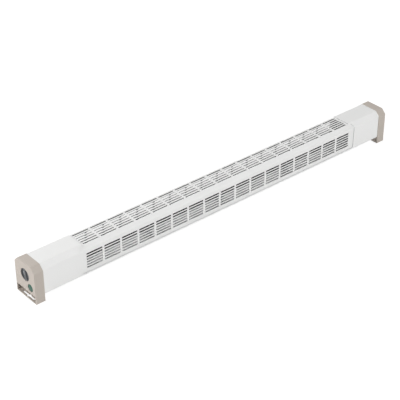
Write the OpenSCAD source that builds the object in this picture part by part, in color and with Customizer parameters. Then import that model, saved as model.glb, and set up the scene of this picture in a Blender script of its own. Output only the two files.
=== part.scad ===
// Plinth heater: a long slotted steel duct with a finned element inside,
// carried by a moulded end cap and foot at each end.
// X runs along the heater, the front faces -Y, Z is up, and the feet stand on Z = 0.
// The control end, with the dial and the switch, is at -X.

/* [Overall] */
// Length over both end caps
length = 890; // [870:10:1200]
// Depth over the end caps, front to back
depth = 61; // [60:1:80]
// Height from the floor to the top of the end caps
height = 75; // [74:1:95]
// Clear height under the sheet metal body
foot_h = 10.5; // [10:0.5:14]

/* [Sheet metal body] */
// How far the body sits behind the front of the caps
body_setback = 1.5; // [1:0.25:2]
// How far the body sits below the top of the caps
body_drop = 0.5; // [0.25:0.25:2]
// Width of the folded bevel along the top edges
top_bevel = 9; // [8:0.5:10]
// Width of the folded bevel along the bottom edges
bottom_bevel = 5; // [4:0.5:5.5]
// Outside radius of each fold
bend_r = 4; // [3:0.5:5]
// Thickness of the casing sheet
casing_t = 1.2; // [1:0.1:1.5]
// Thickness of the grille sheet
grille_t = 0.8; // [0.6:0.1:1]
// Gap between the casing and the grille nested in it
grille_fit = 0.2; // [0.1:0.05:0.4]

/* [Grille window] */
// Shift of the grille from the middle, away from the control end
grille_shift = 2.5; // [0:0.5:6]
// Plain rim between the slots and the end of the window, on the front
window_rim_front = 15; // [12:1:18]
// Plain rim between the slots and the end of the window, on the top
window_rim_top = 4; // [3:0.5:6]
// Lower edge of the window above the underside of the body
window_sill = 7; // [6:0.5:9]
// Radius of the window's lower corners
window_r = 5; // [2:1:8]
// How far the grille runs on inside the casing past the window
grille_lap = 8; // [5:1:12]
// Least length of the plain sleeve at each end of the body
sleeve_len = 70; // [68:1:76]

/* [Slots] */
// Distance from one group to the next
group_pitch = 39.6; // [38:0.2:40]
// Length of one slot
slot_len = 35.2; // [30:0.2:36]
// Rows of slots on each face
rows = 6; // [2:1:6]
// Height of a slot on the front and the back
side_slot_h = 3.4; // [2:0.1:3.6]
// Distance between rows on the front and the back
side_row_pitch = 5.7; // [5:0.1:6]
// Height of the lowest row above the underside of the body
side_row_z = 16.5; // [15:0.5:18]
// How much higher the rows on the back sit than those on the front
back_row_up = 0.5; // [0:0.1:3]
// Width of a slot on the top
top_slot_w = 3.3; // [2:0.1:4]
// Distance between rows on the top
top_row_pitch = 6.5; // [5.5:0.1:6.6]
// How far the rows on the top sit towards the front
top_row_shift = 1.5; // [0:0.5:2]

/* [End caps] */
// Thickness of a cap along the heater
cap_len = 19.3; // [18:0.1:21]
// Wall of the moulding
cap_wall = 2.4; // [2:0.1:3]
// Bevel along the top edges of a cap
cap_bevel = 10; // [9:0.5:10.5]
// Blend radius at the ends of that bevel
cap_blend = 5; // [3:0.5:6]
// Radius of the caps' lower corners
cap_foot_r = 0.8; // [0.4:0.1:1.5]
// Length of the spigot that plugs into the body
spigot_len = 11; // [9:1:11]
// Wall of the spigot
spigot_wall = 2.2; // [1.8:0.1:2.4]
// Gap between the spigot and the body
spigot_fit = 0.25; // [0.15:0.05:0.4]

/* [Feet] */
// Thickness of the foot plate
foot_plate_t = 2.2; // [1.8:0.1:3]
// Height of the opening in the outer face of a foot
foot_opening_h = 16.1; // [14:0.1:16.2]
// Width of the wall at each end of that opening
foot_jamb = 2.5; // [2:0.1:3.5]
// Height of the opening on the inner side of a foot
foot_inner_h = 9.2; // [8:0.2:9.2]
// Length of the fixing slot in the foot plate
keyhole_len = 36; // [24:1:40]
// Width of that slot
keyhole_w = 4.2; // [3:0.2:5]
// Diameter of the round middle of that slot
keyhole_d = 8; // [7:0.2:9]
// Distance of the slot from the outer face
keyhole_x = 5.5; // [5:0.1:7]

/* [Thermostat dial] */
// Diameter of the dial
dial_d = 24.6; // [23:0.2:25.4]
// Height of the dial centre above the middle of the cap's face over its foot
dial_up = 2; // [1.5:0.25:4]
// Gap between the dial and the hole in the cap
dial_gap = 0.4; // [0.3:0.05:0.6]
// How far the dial lies behind the outer face
dial_sink = 0.5; // [0.3:0.1:1]
// Thickness of the dial
dial_t = 4.5; // [4:0.5:5]
// Depth of the finger hollows beside the grip bar
dial_hollow = 1.8; // [1:0.1:2]
// Width of the rim around those hollows
dial_rim = 1.3; // [1:0.1:2]
// Width of the grip bar
dial_grip_w = 7; // [4:0.5:9]
// Turn of the grip bar at rest, from upright
dial_rest_turn = 12; // [0:1:30]
// Diameter of the thermostat spindle
spindle_d = 6; // [5:0.5:6]
// Running gap around the spindle
spindle_gap = 0.05; // [0.02:0.01:0.08]

/* [Switch] */
// Diameter of the round rocker
rocker_d = 14.6; // [13.6:0.2:14.8]
// Distance of the switch behind the front of the cap
switch_in = 15.75; // [15.5:0.25:16]
// Height of the switch above the floor
switch_z = 28; // [28:0.25:28.5]
// Tilt of the rocker each way
rocker_tilt = 6; // [3:1:7]
// How far the crest of the rocker lies behind the outer face
rocker_sink = 0.5; // [0.5:0.1:1]

/* [Element] */
// Diameter of the sheathed rod
rod_d = 8; // [6:0.5:9]
// Height of the rod above the underside of the body
rod_up = 25.5; // [24:0.5:26]
// Diameter of a fin
fin_d = 21; // [16:1:22]
// Thickness of a fin
fin_t = 0.8; // [0.5:0.1:1]
// Distance from one fin to the next
fin_pitch = 8; // [8:1:12]
// Number of brackets that hold the rod up
brackets = 3; // [2:1:3]

/* [Hidden] */

$fn = 48;
// Overrun of every cut past the face that it opens
cut = 1;
// Segments of one fold, and of the curved end of the window
bend_steps = 4;
curve_steps = 8;
// Smallest radius left inside a tight fold
least_r = 0.4;
// Gap around a screw or a rivet in its hole
screw_gap = 0.1;
// Gap between sheets and mouldings that sit side by side
side_gap = 0.3;
// Share of an inset that comes off a 45 degree bevel
bevel_share = 2 - sqrt(2);

// Body, worked out from the caps
end_x = length / 2;
body_x = end_x - cap_len;
body_half = depth / 2 - body_setback;
body_z0 = foot_h;
body_z1 = height - body_drop;
floor_z = body_z0 + casing_t;

// Grille and its window
grille_in = casing_t + grille_fit;
groups = floor((2 * (body_x - sleeve_len - window_rim_front) + group_pitch - slot_len) / group_pitch);
slots_len = (groups - 1) * group_pitch + slot_len;
slots_x0 = grille_shift - slots_len / 2;
window_front = slots_len / 2 + window_rim_front;
window_top = slots_len / 2 + window_rim_top;
window_z = body_z0 + window_sill;
window_turn_z = body_z1 - top_bevel;
grille_x0 = grille_shift - window_front - grille_lap;
grille_x1 = grille_shift + window_front + grille_lap;
// Gap under the grille's lower edges
grille_foot = 0.5;

// Bulkheads that close off a compartment at each end
bulkhead_t = 1.2;
bulkhead_gap = 5;
bulkhead_flange = 12;
left_face = grille_x0 - bulkhead_gap - bulkhead_t;
right_face = grille_x1 + bulkhead_gap + bulkhead_t;
// The left bulkhead's face, measured from the outer face of the cap
bulkhead_in = left_face + end_x;

// Element
rod_z = body_z0 + rod_up;
rod_past = 10;
rod_gap = 0.05;
bush_d = 14;
bush_flange_d = 18;
bush_flange_t = 2;
bush_len = 4;
bush_gap = 0.15;
stud_d = 4;
stud_len = 10;
nut_d = 8;
nut_t = 3.2;
nut_in = 3;
fins = floor(slots_len / fin_pitch / 2 - 1) * 2;

// Reflector under the element, and the brackets that stand on it
reflector_t = 0.6;
reflector_side = 12;
reflector_half = body_half - reflector_side;
reflector_up = 3;
reflector_z = floor_z + reflector_up;
reflector_top = reflector_z + reflector_t;
bracket_t = 1.2;
bracket_side = 4;
bracket_half = reflector_half - bracket_side;
bracket_foot = 6;
bracket_over = 5;
// Span past the last bracket, as a share of the span between brackets
bracket_end_share = 0.8;
// Pitches of the fins from one bracket to the next, an even number
bracket_every = 2 * floor(fins / (brackets - 1 + 2 * bracket_end_share) / 2);
rivet_d = 3;
rivet_head_d = 5;
rivet_head_t = 1;
rivet_side = 5;
rivet_y = bracket_half - rivet_side;

// Screws through the underside
screw_d = 3.4;
screw_head_d = 6.6;
screw_head_t = 1.6;
screw_len = 6;
floor_screw_side = 6;
floor_screw_y = reflector_half - floor_screw_side;
flange_side = 2.5;
flange_half = reflector_half - flange_side;
reflector_screw_in = 20;
cap_screw_in = 6;
cap_screw_y = 14;

// The cap's face above its foot
face_z0 = foot_opening_h + cap_wall;
dial_z = (face_z0 + height) / 2 + dial_up;

// Thermostat behind the dial, measured from the outer face of the cap
plate_in = 11;
plate_t = 1.2;
plate_half_y = 22;
plate_half_z = 9;
thermo_in = plate_in + plate_t;
thermo_len = 23;
thermo_half_y = 13;
thermo_half_z = 11;
post_y = 18;
post_d = 6;
small_screw_d = 2.8;
small_screw_len = 6;
small_head_d = 5.2;
small_head_t = 1.6;
neck_d = 9;
neck_len = 2;
spindle_in = 3.4;
spindle_end = 21;
hub_d = 10;
hub_len = 3.5;
dial_skin = 1;
tab_t = 0.8;
tab_w = 4.8;
tab_len = 6;
tab_y = 6;

// Capillary, bulb and clip
capillary_d = 1.4;
capillary_hole_d = 4;
capillary_y = 10;
capillary_dz = 8;
capillary_run = 9;
capillary_turn_in = 48;
capillary_turn_z = 26;
bulb_d = 4.4;
bulb_len = 50;
bulb_side = 9;
bulb_y = bulb_side - body_half;
bulb_up = 6.3;
bulb_z = floor_z + bulb_up;
bulb_past = 8;
clip_t = 0.8;
clip_w = 8;
clip_tail = 10;
clip_gap = 0.05;
clip_rivet_in = 7;

// Switch body behind the rocker, measured from the outer face of the cap
housing_wall = 1.2;
housing_gap = 0.5;
ring_len = 5.2;
block_side = 16.4;
block_depth = 12;
collar_wall = 1.2;
collar_len = 3.5;
collar_gap = 0.1;
pivot_in = 3.2;
pivot_d = 1;
pivot_gap = 0.05;
pivot_bite = 1.1;
rocker_gap = 0.5;
rocker_back = 2.2;
rocker_crown = 0.5;
switch_tab_dz = 5;
switch_y = depth / 2 - switch_in;
rocker_r = rocker_d / 2;
ring_r = rocker_r + housing_gap + housing_wall;
block_end = cap_wall + ring_len + block_depth;
crown_r = (rocker_r * rocker_r + rocker_crown * rocker_crown) / rocker_crown / 2;

// Supply terminals on the floor of the control end
block_in = 53;
block_len = 16;
block_side_in = 7;
block_h = 13;
ways = 3;
way_pitch = 7;
block_y1 = body_half - block_side_in;
block_y0 = block_y1 - ways * way_pitch;
way_screw_d = 4;
way_screw_t = 2;
way_sink = 3;
way_z = floor_z + block_h / 2;

// Cord entry through the floor, and its clamp
grommet_in = 38.2;
grommet_side = 9;
grommet_y = block_y1 - grommet_side;
grommet_bore = 6.6;
grommet_d = 9;
grommet_lip = 1.4;
clamp_in = 45.6;
clamp_len = 6;
clamp_half = 9;
clamp_t = 1.2;
clamp_r = 3.4;
clamp_screw_y = 6.9;

// Earth stud
earth_in = 62;
earth_side = 15;
earth_y = earth_side - body_half;
earth_len = 10;
earth_base_d = 8;
earth_base_t = 1;

// Overheat cut-out on the left bulkhead
cutout_d = 15;
cutout_t = 8;
cutout_side = 16;
cutout_y = cutout_side - body_half;
cutout_z = 52;
cutout_tab_y = 4;
ear_half = 13;
ear_w = 7;
ear_t = 0.8;
ear_screw_y = 10.4;

// Internal leads: their diameter, the straight run at each end, and the sides of their section
wire_d = 2.6;
wire_hole_d = 4;
wire_run = 6;
wire_far = 8;
lead_sides = 12;

function unit(v) = v / norm(v);

// Points of the arc that rounds corner b, on the way from a to c
function corner_arc(a, b, c, r, n) =
    let (u = unit(a - b),
         w = unit(c - b),
         half = acos(u * w) / 2,
         mid = b + unit(u + w) * r / sin(half),
         s = b + u * r / tan(half) - mid,
         e = b + w * r / tan(half) - mid,
         turn = atan2(s[0] * e[1] - s[1] * e[0], s * e),
         start = atan2(s[1], s[0]))
    [for (i = [0:n]) mid + r * [cos(start + turn * i / n), sin(start + turn * i / n)]];

// Outline p with corner i rounded to radius r[i]
function rounded(p, r, n) =
    [for (i = [0:len(p) - 1])
        for (q = corner_arc(p[(i + len(p) - 1) % len(p)], p[i], p[(i + 1) % len(p)], r[i], n)) q];

// Section of the body in Y and Z, inset by t from its outer surface
function body_section(t) =
    let (half = body_half - t,
         z0 = body_z0 + t,
         z1 = body_z1 - t,
         low = bottom_bevel - t * bevel_share,
         high = top_bevel - t * bevel_share,
         r = max(bend_r - t, least_r))
    rounded([[-half, z0 + low], [low - half, z0], [half - low, z0], [half, z0 + low],
             [half, z1 - high], [half - high, z1], [high - half, z1], [-half, z1 - high]],
            [r, r, r, r, r, r, r, r], bend_steps);

// Section of a cap in Y and Z, inset by t, from height z0 up
function cap_section(t, z0, r0) =
    let (half = depth / 2 - t,
         z1 = height - t,
         high = cap_bevel - t * bevel_share,
         r = max(cap_blend - t, least_r))
    rounded([[-half, z0], [half, z0], [half, z1 - high],
             [half - high, z1], [high - half, z1], [-half, z1 - high]],
            [r0, r0, r, r, r, r], bend_steps);

module along_x(x0, x1) {
    translate([x0, 0, 0])
        rotate([90, 0, 90])
            linear_extrude(x1 - x0)
                children();
}

// A round bar along X, centred on y and z
module bar_x(x0, x1, y, z, d) {
    translate([x0, y, z])
        rotate([0, 90, 0])
            cylinder(h = x1 - x0, d = d);
}

module box(x, y, z) {
    translate([x[0], y[0], z[0]])
        cube([x[1] - x[0], y[1] - y[0], z[1] - z[0]]);
}

// Places a piece drawn from the outer face of the control end cap inwards
module from_face() {
    translate([-end_x, 0, 0])
        children();
}

// Point q moved along v onto the plane through b with normal n
function slid(q, v, b, n) = q + v * ((b - q) * n) / (v * n);

// Rings of a lead's section at each of its points, mitred at the bends
function lead_rings(p, d, i = 0, last = []) =
    i == len(p) ? [] :
    let (v = unit(i == 0 ? p[1] - p[0] : p[i] - p[i - 1]),
         w = unit(i == len(p) - 1 ? v : p[i + 1] - p[i]),
         across = unit(cross(v, abs(v[2]) < 0.7 ? [0, 0, 1] : [0, 1, 0])),
         up = cross(across, v),
         ring = i == 0
             ? [for (k = [0:lead_sides - 1])
                   let (a = 360 * (k + 0.5) / lead_sides)
                   p[0] + (across * cos(a) + up * sin(a)) * d / 2 / cos(180 / lead_sides)]
             : [for (q = last) slid(q, v, p[i], v + w)])
    concat([ring], lead_rings(p, d, i + 1, ring));

// A lead or tube through a list of points
module lead(p, d) {
    rings = lead_rings(p, d);
    n = lead_sides;
    polyhedron(
        [for (ring = rings) for (q = ring) q],
        concat([[for (k = [n - 1:-1:0]) k]],
               [for (i = [0:len(p) - 2]) for (k = [0:n - 1])
                   [i * n + k, i * n + (k + 1) % n, (i + 1) * n + (k + 1) % n, (i + 1) * n + k]],
               [[for (k = [0:n - 1]) (len(p) - 1) * n + k]]));
}

// One end of the window's outline in X and Z, from the top of its upright side up
function window_side(sign) =
    concat([for (i = [0:curve_steps])
               let (a = 90 * i / curve_steps)
               [grille_shift + sign * (window_top + (window_front - window_top) * cos(a)),
                window_turn_z + (body_z1 - casing_t - window_turn_z) * sin(a)]],
           [[grille_shift + sign * window_top, body_z1 + cut]]);

function window_corner(sign) =
    corner_arc([grille_shift + sign * window_front, window_turn_z],
               [grille_shift + sign * window_front, window_z],
               [grille_shift, window_z], window_r, curve_steps);

module window_cut() {
    translate([0, depth / 2, 0])
        rotate([90, 0, 0])
            linear_extrude(depth)
                polygon(concat(window_corner(1),
                               [for (i = [curve_steps:-1:0]) window_corner(-1)[i]],
                               window_side(-1),
                               [for (i = [curve_steps + 1:-1:0]) window_side(1)[i]]));
}

// Places of the screws through the floor of the body
floor_screw_places =
    [for (x = [left_face - bulkhead_flange / 2,
               grille_x0 + reflector_screw_in,
               grille_x1 - reflector_screw_in,
               right_face + bulkhead_flange / 2])
        for (s = [-1, 1]) [x, s * floor_screw_y]];
cap_screw_places =
    [for (x = [cap_screw_in - body_x, body_x - cap_screw_in])
        for (s = [-1, 1]) [x, s * cap_screw_y]];

module screw_holes(places, d, z0, z1) {
    for (p = places)
        translate([p[0], p[1], z0])
            cylinder(h = z1 - z0, d = d);
}

module casing() {
    color("whitesmoke")
        difference() {
            along_x(-body_x, body_x)
                difference() {
                    polygon(body_section(0));
                    polygon(body_section(casing_t));
                }
            window_cut();
            screw_holes(concat(floor_screw_places, cap_screw_places),
                        screw_d + 2 * screw_gap, body_z0 - cut, floor_z + cut);
            screw_holes([[grommet_in - end_x, grommet_y]],
                        grommet_d + 2 * screw_gap, body_z0 - cut, floor_z + cut);
        }
}

module grille() {
    side_z = body_z0 + side_row_z;
    top_y = (rows - 1) * top_row_pitch / 2 + top_row_shift;
    color("white")
        difference() {
            along_x(grille_x0, grille_x1)
                difference() {
                    polygon(body_section(grille_in));
                    polygon(body_section(grille_in + grille_t));
                }
            box([grille_x0 - cut, grille_x1 + cut], [-body_half, body_half],
                [body_z0, floor_z + grille_fit + grille_t + grille_foot]);
            for (g = [0:groups - 1]) {
                translate([slots_x0 + g * group_pitch, 0, 0]) {
                    for (r = [0:rows - 1], s = [0, 1])
                        translate([0, (s - 1) * depth,
                                   side_z + r * side_row_pitch + s * back_row_up - side_slot_h / 2])
                            cube([slot_len, depth, side_slot_h]);
                    for (r = [0:rows - 1])
                        translate([0, r * top_row_pitch - top_y - top_slot_w / 2, window_turn_z])
                            cube([slot_len, top_slot_w, height / 2]);
                }
            }
        }
}

// Cap with its foot and spigot, its outer face on X = 0 and its inside towards +X
module cap_moulding() {
    ceiling = foot_opening_h + cap_wall;
    spigot_in = casing_t + spigot_fit;
    inner = cap_len - cap_wall;
    difference() {
        union() {
            along_x(0, cap_len)
                polygon(cap_section(0, 0, cap_foot_r));
            along_x(inner, cap_len + spigot_len)
                polygon(body_section(spigot_in));
        }
        along_x(cap_wall, inner)
            polygon(cap_section(cap_wall, ceiling, least_r));
        along_x(inner - cut, cap_len + cut)
            intersection() {
                polygon(body_section(spigot_in + spigot_wall));
                translate([-depth / 2, ceiling])
                    square([depth, height]);
            }
        along_x(cap_len, cap_len + spigot_len + cut)
            polygon(body_section(spigot_in + spigot_wall));
        box([-cut, inner], [foot_jamb - depth / 2, depth / 2 - foot_jamb],
            [foot_plate_t, foot_opening_h]);
        box([-cut, cap_len + cut], [foot_jamb - depth / 2, depth / 2 - foot_jamb],
            [foot_plate_t, foot_inner_h]);
        keyhole();
        for (s = [-1, 1])
            translate([cap_len + cap_screw_in, s * cap_screw_y, floor_z])
                cylinder(h = spigot_fit + spigot_wall + cut, d = screw_d + 2 * screw_gap);
    }
}

module keyhole() {
    translate([keyhole_x, 0, -cut]) {
        cylinder(h = foot_plate_t + 2 * cut, d = keyhole_d);
        for (s = [-1, 1])
            translate([0, s * (keyhole_len - keyhole_w) / 2, 0])
                cylinder(h = foot_plate_t + 2 * cut, d = keyhole_w);
        translate([-keyhole_w / 2, -(keyhole_len - keyhole_w) / 2, 0])
            cube([keyhole_w, keyhole_len - keyhole_w, foot_plate_t + 2 * cut]);
    }
}

module control_end_cap() {
    color("tan")
        from_face()
            difference() {
                union() {
                    cap_moulding();
                    for (s = [-1, 1])
                        bar_x(cap_wall / 2, plate_in, s * post_y, dial_z, post_d);
                    bar_x(cap_wall / 2, cap_wall + collar_len, -switch_y, switch_z,
                          2 * (ring_r + collar_gap + collar_wall));
                }
                bar_x(-cut, cap_wall + cut, 0, dial_z, dial_d + 2 * dial_gap);
                bar_x(-cut, cap_wall + cut, -switch_y, switch_z, rocker_d + 2 * rocker_gap);
                bar_x(cap_wall, cap_wall + collar_len + cut, -switch_y, switch_z,
                      2 * (ring_r + collar_gap));
                for (s = [-1, 1])
                    bar_x(thermo_in - small_screw_len - cut, plate_in + cut, s * post_y, dial_z,
                          small_screw_d + 2 * screw_gap);
            }
}

module plain_end_cap() {
    color("tan")
        mirror([1, 0, 0])
            from_face()
                cap_moulding();
}

module thermostat_dial() {
    back = dial_sink + dial_t;
    hollow_in = dial_sink + dial_hollow;
    color("dimgray")
        from_face()
            difference() {
                union() {
                    bar_x(dial_sink, back, 0, dial_z, dial_d);
                    bar_x(back - dial_t / 2, back + hub_len, 0, dial_z, hub_d);
                }
                for (s = [-1, 1])
                    intersection() {
                        bar_x(dial_sink - cut, hollow_in, 0, dial_z, dial_d - 2 * dial_rim);
                        translate([dial_sink - 2 * cut, 0, dial_z])
                            rotate([-dial_rest_turn, 0, 0])
                                translate([0, (dial_grip_w * s + dial_d * (s - 1)) / 2, -dial_d])
                                    cube([dial_t, dial_d, 2 * dial_d]);
                    }
                bar_x(hollow_in + dial_skin, back + hub_len + cut, 0, dial_z,
                      spindle_d + 2 * spindle_gap);
            }
}

module thermostat_spindle() {
    color("silver")
        from_face()
            bar_x(spindle_in, spindle_end, 0, dial_z, spindle_d);
}

module thermostat_body() {
    color("saddlebrown")
        from_face()
            difference() {
                union() {
                    box([thermo_in, thermo_in + thermo_len], [-thermo_half_y, thermo_half_y],
                        [dial_z - thermo_half_z, dial_z + thermo_half_z]);
                    bar_x(thermo_in - neck_len, thermo_in + neck_len, 0, dial_z, neck_d);
                    for (s = [-1, 1])
                        box([thermo_in + thermo_len / 2, thermo_in + thermo_len + tab_len],
                            [s * tab_y - tab_w / 2, s * tab_y + tab_w / 2],
                            [dial_z - tab_t / 2, dial_z + tab_t / 2]);
                }
                bar_x(thermo_in - neck_len - cut, spindle_end + screw_gap, 0, dial_z,
                      spindle_d + 2 * spindle_gap);
            }
}

module thermostat_bracket() {
    color("silver")
        from_face()
            difference() {
                box([plate_in, thermo_in], [-plate_half_y, plate_half_y],
                    [dial_z - plate_half_z, dial_z + plate_half_z]);
                bar_x(plate_in - cut, thermo_in + cut, 0, dial_z, neck_d + 2 * screw_gap);
                for (s = [-1, 1])
                    bar_x(plate_in - cut, thermo_in + cut, s * post_y, dial_z,
                          small_screw_d + 2 * screw_gap);
            }
}

// A small screw along X, its head's underside at x and its shank towards dir
module small_screw(x, y, z, dir) {
    translate([x, y, z])
        rotate([0, dir * 90, 0]) {
            cylinder(h = small_screw_len, d = small_screw_d);
            translate([0, 0, -small_head_t])
                cylinder(h = small_head_t, d = small_head_d);
        }
}

module thermostat_screws() {
    color("silver")
        from_face()
            for (s = [-1, 1])
                small_screw(thermo_in, s * post_y, dial_z, -1);
}

module capillary_tube() {
    start = thermo_in + thermo_len;
    z = dial_z - capillary_dz;
    color("peru")
        from_face()
            lead([[start, capillary_y, z],
                  [start + capillary_run, capillary_y, z],
                  [capillary_turn_in, bulb_y, capillary_turn_z],
                  [bulkhead_in - wire_run, bulb_y, bulb_z],
                  [bulkhead_in + bulkhead_t + bulb_past, bulb_y, bulb_z]], capillary_d);
}

module sensor_bulb() {
    start = left_face + bulkhead_t + bulb_past;
    color("peru")
        bar_x(start, start + bulb_len, bulb_y, bulb_z, bulb_d);
}

clip_x = left_face + bulkhead_t + bulb_past + bulb_len / 2;

module bulb_clip() {
    r = bulb_d / 2 + clip_gap + clip_t;
    color("silver")
        difference() {
            union() {
                bar_x(clip_x - clip_w / 2, clip_x + clip_w / 2, bulb_y, bulb_z, 2 * r);
                box([clip_x - clip_w / 2, clip_x + clip_w / 2],
                    [bulb_y + bulb_d / 2, bulb_y + clip_tail],
                    [reflector_top, reflector_top + clip_t]);
            }
            bar_x(clip_x - clip_w, clip_x + clip_w, bulb_y, bulb_z, bulb_d + 2 * clip_gap);
            translate([clip_x, bulb_y + clip_rivet_in, reflector_top - cut])
                cylinder(h = clip_t + 2 * cut, d = rivet_d + 2 * screw_gap);
        }
}

module switch_housing() {
    color("gainsboro")
        from_face()
            difference() {
                union() {
                    bar_x(cap_wall, cap_wall + ring_len + cut, -switch_y, switch_z, 2 * ring_r);
                    box([cap_wall + ring_len, block_end],
                        [-switch_y - block_side / 2, block_side / 2 - switch_y],
                        [switch_z - block_side / 2, switch_z + block_side / 2]);
                }
                bar_x(cap_wall - cut, cap_wall + ring_len, -switch_y, switch_z,
                      2 * (ring_r - housing_wall));
                translate([pivot_in, -switch_y, switch_z - ring_r - cut])
                    cylinder(h = 2 * (ring_r + cut), d = pivot_d + 2 * pivot_gap);
            }
}

module switch_rocker() {
    color("seagreen")
        from_face()
            translate([pivot_in, -switch_y, switch_z])
                rotate([0, 0, rocker_tilt]) {
                    intersection() {
                        bar_x(-pivot_in, rocker_back, 0, 0, rocker_d);
                        translate([crown_r + rocker_sink - pivot_in, 0, -rocker_d])
                            cylinder(h = 2 * rocker_d, r = crown_r, $fn = 96);
                    }
                    translate([0, 0, pivot_bite - ring_r - housing_wall / 2])
                        cylinder(h = 2 * (ring_r + housing_wall / 2 - pivot_bite), d = pivot_d);
                }
}

module switch_tabs() {
    color("silver")
        from_face()
            for (i = [-1, 0, 1])
                box([block_end, block_end + tab_len],
                    [-switch_y - tab_w / 2, tab_w / 2 - switch_y],
                    [switch_z + i * switch_tab_dz - tab_t / 2,
                     switch_z + i * switch_tab_dz + tab_t / 2]);
}

function way_y(i) = block_y0 + (i + 0.5) * way_pitch;

module terminal_block() {
    color("ivory")
        from_face()
            difference() {
                box([block_in, block_in + block_len], [block_y0, block_y1],
                    [floor_z, floor_z + block_h]);
                for (i = [0:ways - 1])
                    translate([block_in + block_len / 2, way_y(i), floor_z + block_h - way_sink])
                        cylinder(h = way_sink + cut, d = way_screw_d + 2 * screw_gap);
            }
}

module terminal_screws() {
    color("gold")
        from_face()
            for (i = [0:ways - 1])
                translate([block_in + block_len / 2, way_y(i), floor_z + block_h - way_sink])
                    cylinder(h = way_screw_t, d = way_screw_d);
}

module cable_grommet() {
    color("black")
        from_face()
            translate([grommet_in, grommet_y, body_z0 - grommet_lip])
                difference() {
                    union() {
                        cylinder(h = grommet_lip, d = grommet_d + 2 * grommet_lip);
                        cylinder(h = 2 * grommet_lip + casing_t, d = grommet_d);
                        translate([0, 0, grommet_lip + casing_t])
                            cylinder(h = grommet_lip, d = grommet_d + 2 * grommet_lip);
                    }
                    translate([0, 0, -cut])
                        cylinder(h = 2 * (grommet_lip + cut) + casing_t, d = grommet_bore);
                }
}

module cord_clamp() {
    color("silver")
        from_face()
            difference() {
                union() {
                    box([clamp_in, clamp_in + clamp_len],
                        [grommet_y - clamp_half, grommet_y + clamp_half],
                        [floor_z, floor_z + clamp_t]);
                    intersection() {
                        bar_x(clamp_in, clamp_in + clamp_len, grommet_y, floor_z,
                              2 * (clamp_r + clamp_t));
                        box([clamp_in, clamp_in + clamp_len],
                            [grommet_y - clamp_half, grommet_y + clamp_half],
                            [floor_z, floor_z + clamp_half]);
                    }
                }
                bar_x(clamp_in - cut, clamp_in + clamp_len + cut, grommet_y, floor_z, 2 * clamp_r);
                for (s = [-1, 1])
                    translate([clamp_in + clamp_len / 2, grommet_y + s * clamp_screw_y, body_z0])
                        cylinder(h = 2 * clamp_half, d = small_screw_d + 2 * screw_gap);
            }
}

module cord_clamp_screws() {
    color("silver")
        from_face()
            for (s = [-1, 1])
                translate([clamp_in + clamp_len / 2, grommet_y + s * clamp_screw_y, floor_z]) {
                    cylinder(h = clamp_t + small_head_t / 2, d = small_screw_d);
                    translate([0, 0, clamp_t])
                        cylinder(h = small_head_t, d = small_head_d * 0.8);
                }
}

module element_rod() {
    color("dimgray")
        bar_x(left_face - rod_past, right_face + rod_past, 0, rod_z, rod_d);
}

module element_fins() {
    color("darkslategray")
        for (i = [0:fins - 1])
            let (x = grille_shift + (i - (fins - 1) / 2) * fin_pitch - fin_t / 2)
            difference() {
                bar_x(x, x + fin_t, 0, rod_z, fin_d);
                bar_x(x - cut, x + fin_t + cut, 0, rod_z, rod_d + 2 * rod_gap);
            }
}

// Ceramic bush, its flange on the compartment side of the left bulkhead
module bush() {
    difference() {
        union() {
            bar_x(left_face - bush_flange_t, left_face, 0, rod_z, bush_flange_d);
            bar_x(left_face - bush_flange_t, left_face + bulkhead_t + bush_len, 0, rod_z, bush_d);
        }
        bar_x(left_face - bush_flange_t - cut, left_face + bulkhead_t + bush_len + cut, 0, rod_z,
              rod_d + 2 * rod_gap);
    }
}

// Turns a piece at the left bulkhead round for the right bulkhead
module at_right() {
    translate([left_face + right_face, 0, 0])
        mirror([1, 0, 0])
            children();
}

module element_bushes() {
    color("ivory") {
        bush();
        at_right()
            bush();
    }
}

module element_terminal() {
    end = left_face - rod_past;
    bar_x(end - stud_len, end, 0, rod_z, stud_d);
    translate([end - nut_in - nut_t, 0, rod_z])
        rotate([0, 90, 0])
            cylinder(h = nut_t, d = nut_d, $fn = 6);
}

module element_terminals() {
    color("silver") {
        element_terminal();
        at_right()
            element_terminal();
    }
}

function bracket_x(i) =
    grille_shift + (i - (brackets - 1) / 2) * bracket_every * fin_pitch;

module element_brackets() {
    color("silver")
        for (i = [0:brackets - 1])
            translate([bracket_x(i) - bracket_t / 2, 0, 0])
                difference() {
                    union() {
                        box([0, bracket_t], [-bracket_half, bracket_half], [reflector_top, rod_z]);
                        bar_x(0, bracket_t, 0, rod_z, rod_d + 2 * bracket_over);
                        box([0, bracket_t + bracket_foot], [-bracket_half, bracket_half],
                            [reflector_top, reflector_top + bracket_t]);
                    }
                    bar_x(-cut, bracket_t + cut, 0, rod_z, rod_d + 2 * rod_gap);
                    for (s = [-1, 1])
                        translate([bracket_t + bracket_foot / 2, s * rivet_y, reflector_z])
                            cylinder(h = reflector_t + bracket_t + cut, d = rivet_d + 2 * screw_gap);
                }
}

// Places of the rivets in the reflector
rivet_places =
    [for (i = [0:brackets - 1])
        for (s = [-1, 1]) [bracket_x(i) + (bracket_t + bracket_foot) / 2, s * rivet_y]];
clip_rivet = [clip_x, bulb_y + clip_rivet_in];

// A set rivet through the reflector and a sheet of thickness t on it
module rivet(p, t) {
    translate([p[0], p[1], reflector_z - rivet_head_t]) {
        cylinder(h = rivet_head_t, d = rivet_head_d);
        cylinder(h = 2 * rivet_head_t + reflector_t + t, d = rivet_d);
        translate([0, 0, rivet_head_t + reflector_t + t])
            cylinder(h = rivet_head_t, d = rivet_head_d);
    }
}

module reflector_rivets() {
    color("gray") {
        for (p = rivet_places)
            rivet(p, bracket_t);
        rivet(clip_rivet, clip_t);
    }
}

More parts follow.
